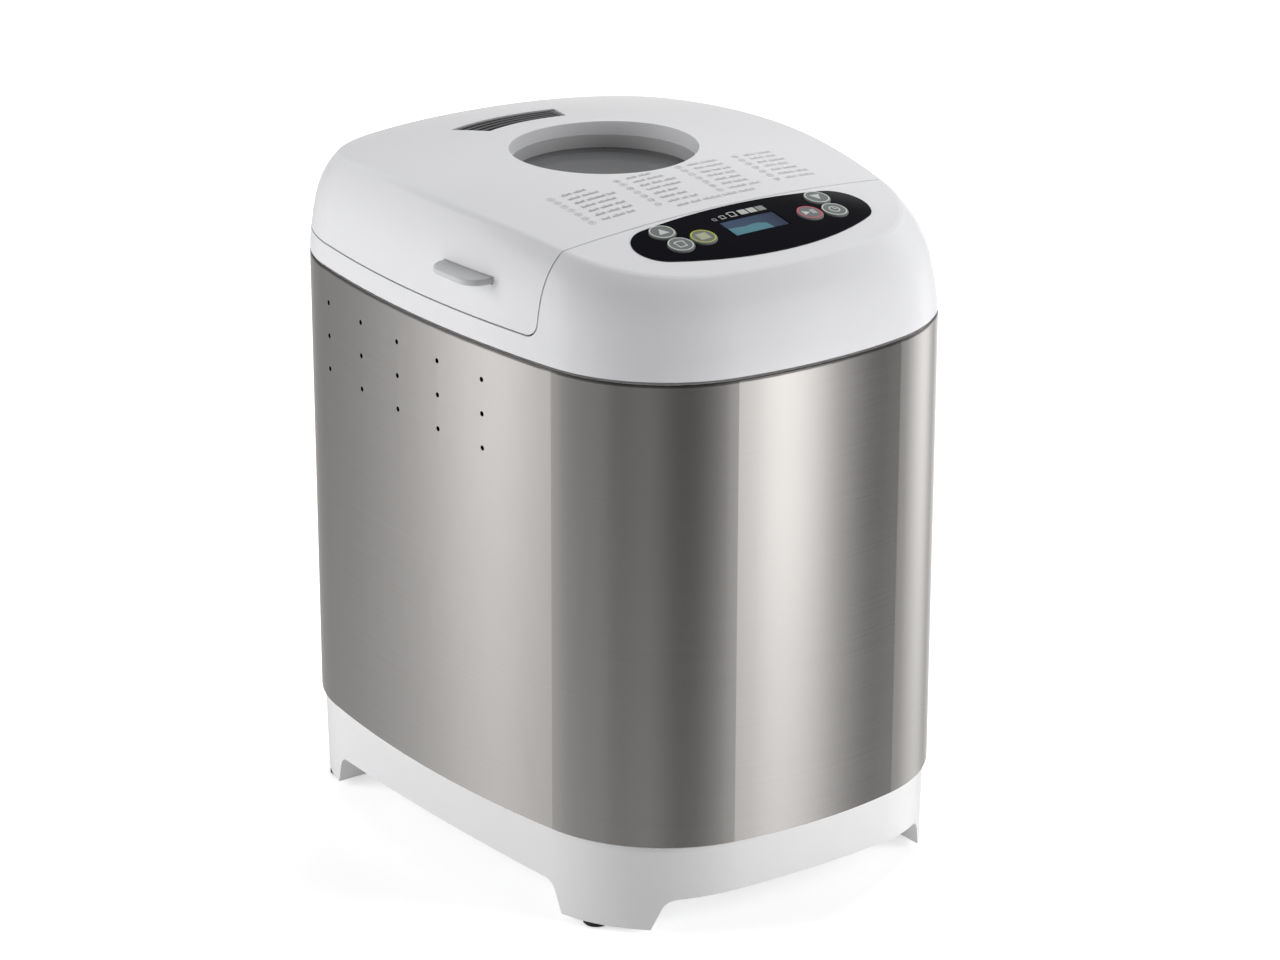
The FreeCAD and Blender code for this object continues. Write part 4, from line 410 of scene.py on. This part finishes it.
# flat marks: each is a pair (plan points, triangles), all turning anticlockwise seen from above
def strip(outer, inner):
    # closed ribbon between two outlines with the same number of points
    n = len(outer)
    k = np.arange(n)
    m = (k + 1) % n
    faces = np.concatenate([np.stack([k, m, n + m], axis=1), np.stack([k, n + m, n + k], axis=1)])
    return np.concatenate([outer, inner]), faces


def filled(outline, layers=3):
    # outlines shrunk towards their middle in equal steps, closed by a fan on the middle point
    n = len(outline)
    middle = outline.mean(axis=0)
    shares = np.linspace(1.0, 1.0 / layers, layers)[:, None, None]
    points = middle + (outline[None] - middle) * shares
    k = np.arange(n)
    m = (k + 1) % n
    step = (np.arange(layers - 1) * n)[:, None]
    ribbons = [np.stack([step + k, step + m, step + n + m], axis=-1).reshape(-1, 3),
               np.stack([step + k, step + n + m, step + n + k], axis=-1).reshape(-1, 3)]
    last = (layers - 1) * n
    fan = np.stack([last + k, last + m, np.full(n, layers * n)], axis=1)
    return np.concatenate([points.reshape(-1, 2), middle[None]]), np.concatenate(ribbons + [fan])


def along(corners, count=48):
    # points at even steps round a polygon of corners, anticlockwise
    loop = np.array(list(corners) + [corners[0]], dtype=float)
    length = np.concatenate([[0], np.cumsum(np.hypot(*np.diff(loop, axis=0).T))])
    t = np.linspace(0, length[-1], count, endpoint=False)
    return np.stack([np.interp(t, length, loop[:, 0]), np.interp(t, length, loop[:, 1])], axis=1)


def circle(radius, count=64):
    turn = np.linspace(0, 2 * np.pi, count, endpoint=False)
    return radius * np.stack([np.cos(turn), np.sin(turn)], axis=1)


def placed(mark, x, y, size=1.0):
    points, faces = mark
    return points * size + (x, y), faces


signShapes = dict(  # corners at unit size, anticlockwise
    loaf=[(-0.42, -0.5), (0.42, -0.5), (0.42, 0.10), (0.52, 0.24), (0.44, 0.42), (0.22, 0.5), (-0.22, 0.5),
          (-0.44, 0.42), (-0.52, 0.24), (-0.42, 0.10)],
    square=[(-0.5, -0.5), (0.5, -0.5), (0.5, 0.5), (-0.5, 0.5)],
    up=[(-0.5, -0.42), (0.5, -0.42), (0.0, 0.5)],
    down=[(-0.5, 0.42), (0.0, -0.5), (0.5, 0.42)],
    play=[(-0.5, -0.5), (0.45, 0.0), (-0.5, 0.5)],
    bar=[(-0.07, -0.36), (0.07, -0.36), (0.07, 0.36), (-0.07, 0.36)],
    hands=[(-0.05, -0.04), (0.30, -0.04), (0.30, 0.06), (0.05, 0.06), (0.05, 0.32), (-0.05, 0.32)])


def solid(shape):
    return filled(along(signShapes[shape]))


def outlined(shape, share):
    # ribbon along a shape's edge, its inner edge the shape shrunk to a share
    outer = along(signShapes[shape])
    return strip(outer, outer * share)


def markPiece(name, marks, lift, material, body):
    # all marks in one mesh, every point lifted on to the dome's skin
    offsets = np.cumsum([0] + [len(points) for points, _ in marks[:-1]])
    plan = np.concatenate([points for points, _ in marks])
    faces = np.concatenate([tri + start for (_, tri), start in zip(marks, offsets)])
    height = domeHeight(plan[:, 0], plan[:, 1], lift)
    obj = newPiece(name, np.column_stack([plan, height]), faces)
    obj.data.materials.append(material)
    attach(obj, body)
    return obj


inkLook = dict(shade=0.86, rough=0.4, coverScale=2500.0, cover=0.6, coverSheen=0.12, depth=0.000004, bump=0.3)


def makeInk(name, tone, lighterTone=None, span=None):
    # printed ink, slightly uneven; a lighter tone takes over along x between the span's ends
    look = inkLook
    s = Finish(name, IOR=1.45)
    cover = s.noise(look["coverScale"], rough=look["cover"])
    ink = cover.blend(scaled(tone, look["shade"]), tone)
    if lighterTone:
        share = (s.axis("X") - span[0]) * (1.0 / (span[1] - span[0]))
        ink = share.blend(ink, lighterTone)
    s.color(ink)
    s.rough(look["rough"], (cover, look["coverSheen"]))
    s.bump(cover, look["depth"], look["bump"])
    return s.material


buttons = dict(
    ringOuter=0.00570, ringInner=0.00508, signSize=0.0053, lift=0.00104,
    inks=dict(pale=(0.60, 0.65, 0.58), green=(0.52, 0.56, 0.03), red=(0.66, 0.07, 0.13),
              iconTone=(0.56, 0.60, 0.58), creamTone=(0.42, 0.44, 0.28)),
    # at the signs' unit size
    loafInner=0.74, clockOuter=0.5, clockInner=0.38, playX=-0.28, playSize=0.72, barsX=(0.26, 0.50))


def makeButtonMarks():
    # a thin coloured ring near each cap's edge and a light sign in its middle
    inks = {key: makeInk(key + "Ink", tone) for key, tone in buttons["inks"].items()}
    clock = [strip(circle(buttons["clockOuter"]), circle(buttons["clockInner"])), solid("hands")]
    playPause = [placed(solid("play"), buttons["playX"], 0.0, buttons["playSize"])]
    playPause += [placed(solid("bar"), x, 0.0) for x in buttons["barsX"]]
    signs = {  # ink of the ring, ink of the sign, the sign's marks
        "button_up": ("pale", "iconTone", [solid("up")]),
        "button_loaf_size": ("pale", "iconTone", [outlined("loaf", buttons["loafInner"])]),
        "button_crust": ("green", "creamTone", [solid("square")]),
        "button_down": ("pale", "iconTone", [solid("down")]),
        "button_menu": ("pale", "iconTone", clock),
        "button_start_stop": ("red", "iconTone", playPause),
    }
    for node, (ringInk, signInk, marks) in signs.items():
        low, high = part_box(node)
        x = (low[0] + high[0]) / 2
        y = (low[1] + high[1]) / 2
        ring = placed(strip(circle(buttons["ringOuter"]), circle(buttons["ringInner"])), x, y)
        markPiece(node + "_ring", [ring], buttons["lift"], inks[ringInk], node)
        sign = [placed(mark, x, y, buttons["signSize"]) for mark in marks]
        markPiece(node + "_sign", sign, buttons["lift"], inks[signInk], node)


iconRow = dict(
    y=-0.0889, lift=0.00034, tone=(0.50, 0.53, 0.50), lastTone=(0.26, 0.28, 0.27), loafFoot=-0.0022,
    loafInner=0.72, loaves=((-0.0145, 0.0022), (-0.0098, 0.0032), (-0.0042, 0.0045)),  # x, size
    squares=((0.0018, 0.0042), (0.0067, 0.0042), (0.0116, 0.0042)))


def makeIconRow():
    # three growing loaf outlines with their feet in line, then three squares of which the last is darker
    light = makeInk("iconRowInk", iconRow["tone"])
    dim = makeInk("lastSquareInk", iconRow["lastTone"])
    y = iconRow["y"]
    marks = [placed(outlined("loaf", iconRow["loafInner"]), x, y + iconRow["loafFoot"] + size / 2, size)
             for x, size in iconRow["loaves"]]
    squares = [placed(solid("square"), x, y, size) for x, size in iconRow["squares"]]
    markPiece("icon_row", marks + squares[:2], iconRow["lift"], light, "root")
    markPiece("last_square", squares[2:], iconRow["lift"], dim, "root")


reading = dict(
    inset=0.0006, lift=0.00013, columns=91, rows=46, edge=0.03, rough=0.12, cloudScale=180.0, cloudSheen=0.04,
    deep=(0.040, 0.050, 0.085), mid=(0.062, 0.092, 0.155), fall=2.5, lit=(0.115, 0.27, 0.33), litShade=0.85,
    skyline=((0.0, 0.52), (0.10, 0.50), (0.30, 0.44), (0.44, 0.50), (0.57, 0.49), (0.69, 0.37), (0.72, 0.0),
             (1.0, -0.3)))  # shares of the pane's width and height


def makeReadingPicture():
    # dark field that deepens to the right, and the lit colour where the pane is lit
    s = Finish("readingPicture", IOR=1.5)
    cloud = s.noise(reading["cloudScale"])
    field = s.values("across").power(reading["fall"]).blend(reading["mid"], reading["deep"])
    lit = cloud.blend(scaled(reading["lit"], reading["litShade"]), reading["lit"])
    s.color(s.values("lit").blend(field, lit))
    s.rough(reading["rough"], (cloud, reading["cloudSheen"]))
    return s.material


def makeReading():
    # liquid-crystal picture: a grid over the pane, its lit share 1 below the skyline and 0 above it
    low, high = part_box("display_window")
    u, v = np.meshgrid(np.linspace(0, 1, reading["columns"]), np.linspace(0, 1, reading["rows"]))
    x = low[0] + reading["inset"] + u * (high[0] - low[0] - 2 * reading["inset"])
    y = low[1] + reading["inset"] + v * (high[1] - low[1] - 2 * reading["inset"])
    points = np.stack([x, y, domeHeight(x, y, reading["lift"])], axis=-1).reshape(-1, 3)
    pane = newPiece("display_reading", points, gridFaces(reading["rows"], reading["columns"]))
    places, levels = np.array(reading["skyline"]).T
    addValues(pane, "lit", np.clip((np.interp(u, places, levels) - v) / reading["edge"] + 0.5, 0, 1))
    addValues(pane, "across", u)
    pane.data.materials.append(makeReadingPicture())
    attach(pane, "root")


menu = dict(
    top=-0.0352, pitch=0.0051, lift=0.00006,
    tone=(0.47, 0.47, 0.485), lighterTone=(0.62, 0.62, 0.635), span=(-0.03, 0.05),
    digit=0.0024, digitCurve=3, badge=0.00165, badgeInner=0.84, badgePoints=20, badgeRise=0.36,
    letter=0.00078, gap=0.00032, wordGap=0.0011,
    heights=(0.0015, 0.0022, 0.0016, 0.0015, 0.0023, 0.0015), heightStep=5,
    columns=(  # numbers' x, words' x, letters in each row's words
        (-0.0618, -0.0562, ((5, 6), (6, 8), (5, 9, 4), (7, 9), (5, 6, 5), (5, 6, 5), (4, 6, 4))),
        (-0.0262, -0.0208, ((5, 6), (6, 8), (5, 5, 6), (7, 9), (6, 5), (7, 5), (6, 3, 4))),
        (0.0076, 0.0128, ((6, 8), (5, 9), (5, 4, 4), (8, 5), (6, 6), (5, 7), (9, 6))),
        (0.0396, 0.0446, ((6, 7), (7, 5), (5, 8), (6, 5), (5, 7), (8, 6), (6, 8)))),
    footerY=-0.0712, footerX=-0.0200, footer=(6, 5, 9, 7, 8))


def glyphs(text, size):
    # a filled font curve turned into a mesh: plan points and triangles
    curve = bpy.data.curves.new("digits", "FONT")
    curve.body = text
    curve.size = size
    curve.align_x = "CENTER"
    curve.resolution_u = menu["digitCurve"]
    holder = bpy.data.objects.new("digits", curve)
    mesh = bpy.data.meshes.new_from_object(holder)
    mesh.calc_loop_triangles()
    points = np.empty(len(mesh.vertices) * 3)
    mesh.vertices.foreach_get("co", points)
    faces = np.empty(len(mesh.loop_triangles) * 3, dtype=np.int32)
    mesh.loop_triangles.foreach_get("vertices", faces)
    bpy.data.objects.remove(holder)
    bpy.data.curves.remove(curve)
    bpy.data.meshes.remove(mesh)
    return points.reshape(-1, 3)[:, :2], faces.reshape(-1, 3)


def wordRow(x, y, words):
    # each word's place is a row of low blocks, one for a letter, their heights picked in steps from the list
    half = menu["letter"] / 2
    step = menu["letter"] + menu["gap"]
    marks = []
    for letters in words:
        for k in range(letters):
            tall = menu["heights"][(k * menu["heightStep"] + letters) % len(menu["heights"])]
            corners = np.array([(-half, 0), (half, 0), (half, tall), (-half, tall)])
            marks.append(placed(filled(corners, 1), x + half + k * step, y))
        x += letters * step + menu["wordGap"]
    return marks


def makeMenu():
    # ringed numbers, each with a row of blocks beside it, faint on the lid, and a line of blocks below; the
    # rings' middles stand a share of a digit above its foot
    ink = makeInk("menuInk", menu["tone"], menu["lighterTone"], menu["span"])
    badge = strip(circle(menu["badge"], menu["badgePoints"]),
                  circle(menu["badge"] * menu["badgeInner"], menu["badgePoints"]))
    marks = []
    number = 0
    for numberX, wordX, rows in menu["columns"]:
        for row, words in enumerate(rows):
            number += 1
            y = menu["top"] - row * menu["pitch"]
            marks.append(placed(glyphs(str(number), menu["digit"]), numberX, y))
            marks.append(placed(badge, numberX, y + menu["digit"] * menu["badgeRise"]))
            marks += wordRow(wordX, y, words)
    marks += wordRow(menu["footerX"], menu["footerY"], menu["footer"])
    markPiece("menu_print", marks, menu["lift"], ink, "lid")


makeButtonMarks()
makeIconRow()
makeReading()
makeMenu()
print("prints and display set")


def seenRays(s):
    # 1 for the rays that show a surface or the sky itself, 0 for those that light the machine
    path = s.add("ShaderNodeLightPath")
    shown = path.out("Is Camera Ray") + path.out("Is Glossy Ray") + path.out("Is Transmission Ray")
    return s.add("ShaderNodeClamp", None, {"Value": shown}).out(0)


# the floor's own glow brings it to white: a smaller share of it up to near, all of it from far on
stage = dict(half=9.0, color=(0.92, 0.92, 0.92), rough=0.9, glow=0.90, paintedShadeGlow=0.60, near=0.9, far=2.2)


def makeStage():
    # flat square floor; the smaller glow near the machine is painted shade round it, which lets its soft
    # shadow show
    half = stage["half"]
    points = np.array([(-half, -half, 0), (half, -half, 0), (half, half, 0), (-half, half, 0)])
    floor = newPiece("floor", points, np.array([(0, 1, 2, 3)]))
    s = Finish("paleFloor", Roughness=stage["rough"], Emission_Strength=1.0)
    s.color(stage["color"])
    away = s.add("ShaderNodeVectorMath", dict(operation="LENGTH"), {0: s.coords()}).out("Value")
    share = (away - stage["near"]) * (1.0 / (stage["far"] - stage["near"]))
    # painted shade: the glow falls to its smaller share near the machine
    tone = share.blend((stage["paintedShadeGlow"],) * 3, (1.0, 1.0, 1.0))
    s.surface("Emission Color", tone * (seenRays(s) * stage["glow"]))
    floor.data.materials.append(s.material)
    floor.visible_glossy = False  # reflections go past the floor to the surround


# the ring of soft panels and dark gaps that metal and gloss reflect
surround = dict(
    radius=0.9, low=-0.75, high=2.4, rows=91, columns=360, tint=(1.0, 0.99, 0.98), middle=0.44,
    climb=(  # height, share of the brightness there
        (-0.75, 1.0), (0.08, 1.0), (0.25, 0.50), (0.36, 0.20), (0.50, 0.24), (0.64, 0.45), (0.76, 0.28),
        (0.79, 0.05), (2.4, 0.04)),
    contrast=(  # height, how strongly the bands stand out from the middle level there
        (-0.75, 0.80), (-0.32, 0.80), (-0.20, 1.0), (-0.06, 1.25), (0.30, 1.25), (0.70, 1.0), (2.4, 1.0)),
    bands=(  # degrees round, brightness
        (-180, 0.30), (-165, 0.29), (-158, 0.20), (-135, 0.25), (-117, 0.13), (-106, 0.15), (-96, 0.24),
        (-90, 0.31), (-85, 0.39), (-80, 0.54), (-77, 0.80), (-74, 1.08), (-71, 1.30), (-67, 1.36),
        (-61, 1.06), (-55, 0.60), (-49, 0.29), (-43, 0.11), (-37, 0.20), (-31, 0.42), (-26, 0.58),
        (-20, 0.76), (-15, 0.93), (-9, 1.05), (-3, 1.05), (3, 0.86), (8, 0.54), (14, 0.44), (20, 0.66),
        (27, 0.95), (33, 1.30), (45, 1.30), (52, 1.10), (64, 0.72), (73, 0.60), (79, 0.52), (86, 0.37),
        (111, 0.31), (118, 0.37), (125, 0.48), (132, 0.62), (138, 0.92), (143, 1.12), (147, 1.00),
        (150, 0.72), (153, 0.50), (160, 0.40), (168, 0.34), (180, 0.30)))


def makeSurround():
    # open cylinder; brightness: band over middle, raised to the contrast, times the middle and the climb
    turn = np.radians(np.linspace(-180, 180, surround["columns"], endpoint=False))
    height = np.linspace(surround["low"], surround["high"], surround["rows"])
    a, h = np.meshgrid(turn, height)
    x, y = surround["radius"] * np.cos(a), surround["radius"] * np.sin(a)
    points = np.stack([x, y, h], axis=-1).reshape(-1, 3)
    angles, levels = np.array(surround["bands"]).T
    heights, shares = np.array(surround["climb"]).T
    reach, powers = np.array(surround["contrast"]).T
    band = np.interp(np.degrees(a), angles, levels) / surround["middle"]
    glow = surround["middle"] * band ** np.interp(h, reach, powers) * np.interp(h, heights, shares)
    inwards = gridFaces(surround["rows"], surround["columns"], closed=True)[:, [0, 3, 2, 1]]
    ring = newPiece("surround", points, inwards)
    addValues(ring, "glow", glow)
    s = Finish("surroundGlow", Roughness=1.0, Emission_Strength=1.0)
    s.color((0.0, 0.0, 0.0))
    s.surface("Emission Color", s.values("glow", "Color") * surround["tint"])
    ring.data.materials.append(s.material)
    ring.visible_camera = False
    ring.visible_diffuse = False
    ring.visible_transmission = False
    ring.visible_shadow = False


worldLevel = 0.24  # strength as light on the machine


def makeWorld():
    # white to the camera, to glass and to reflections, and worldLevel to the rest
    world = bpy.data.worlds.new("studio")
    scene.world = world
    world.use_nodes = True
    s = Shader(world.node_tree)
    background = world.node_tree.nodes["Background"]
    s.feed(background.inputs["Color"], (1.0, 1.0, 1.0))
    s.feed(background.inputs["Strength"], seenRays(s).blend(worldLevel, 1.0))


lampAim = (0.0, 0.0, 0.16)
lamps = [  # each faces lampAim and is seen by no reflection
    dict(name="leftBank", place=(-1.42, 0.80, 0.55), width=0.9, tall=1.2, watts=18.0),
    dict(name="rightBank", place=(0.92, -1.33, 0.50), width=0.6, tall=1.1, watts=16.0),
    dict(name="overheadBank", place=(0.95, 0.70, 1.45), width=1.1, tall=1.1, watts=25.0),
]


def makeLamps():
    for lamp in lamps:
        data = bpy.data.lights.new(lamp["name"], "AREA")
        data.shape = "RECTANGLE"
        data.size = lamp["width"]
        data.size_y = lamp["tall"]
        data.energy = lamp["watts"]
        obj = bpy.data.objects.new(lamp["name"], data)
        obj.location = lamp["place"]
        aim = Vector(lampAim) - obj.location
        obj.rotation_euler = aim.to_track_quat("-Z", "Y").to_euler()
        obj.visible_glossy = False
        scene.collection.objects.link(obj)


makeStage()
makeSurround()
makeWorld()
makeLamps()
print("stage, world and lamps set")
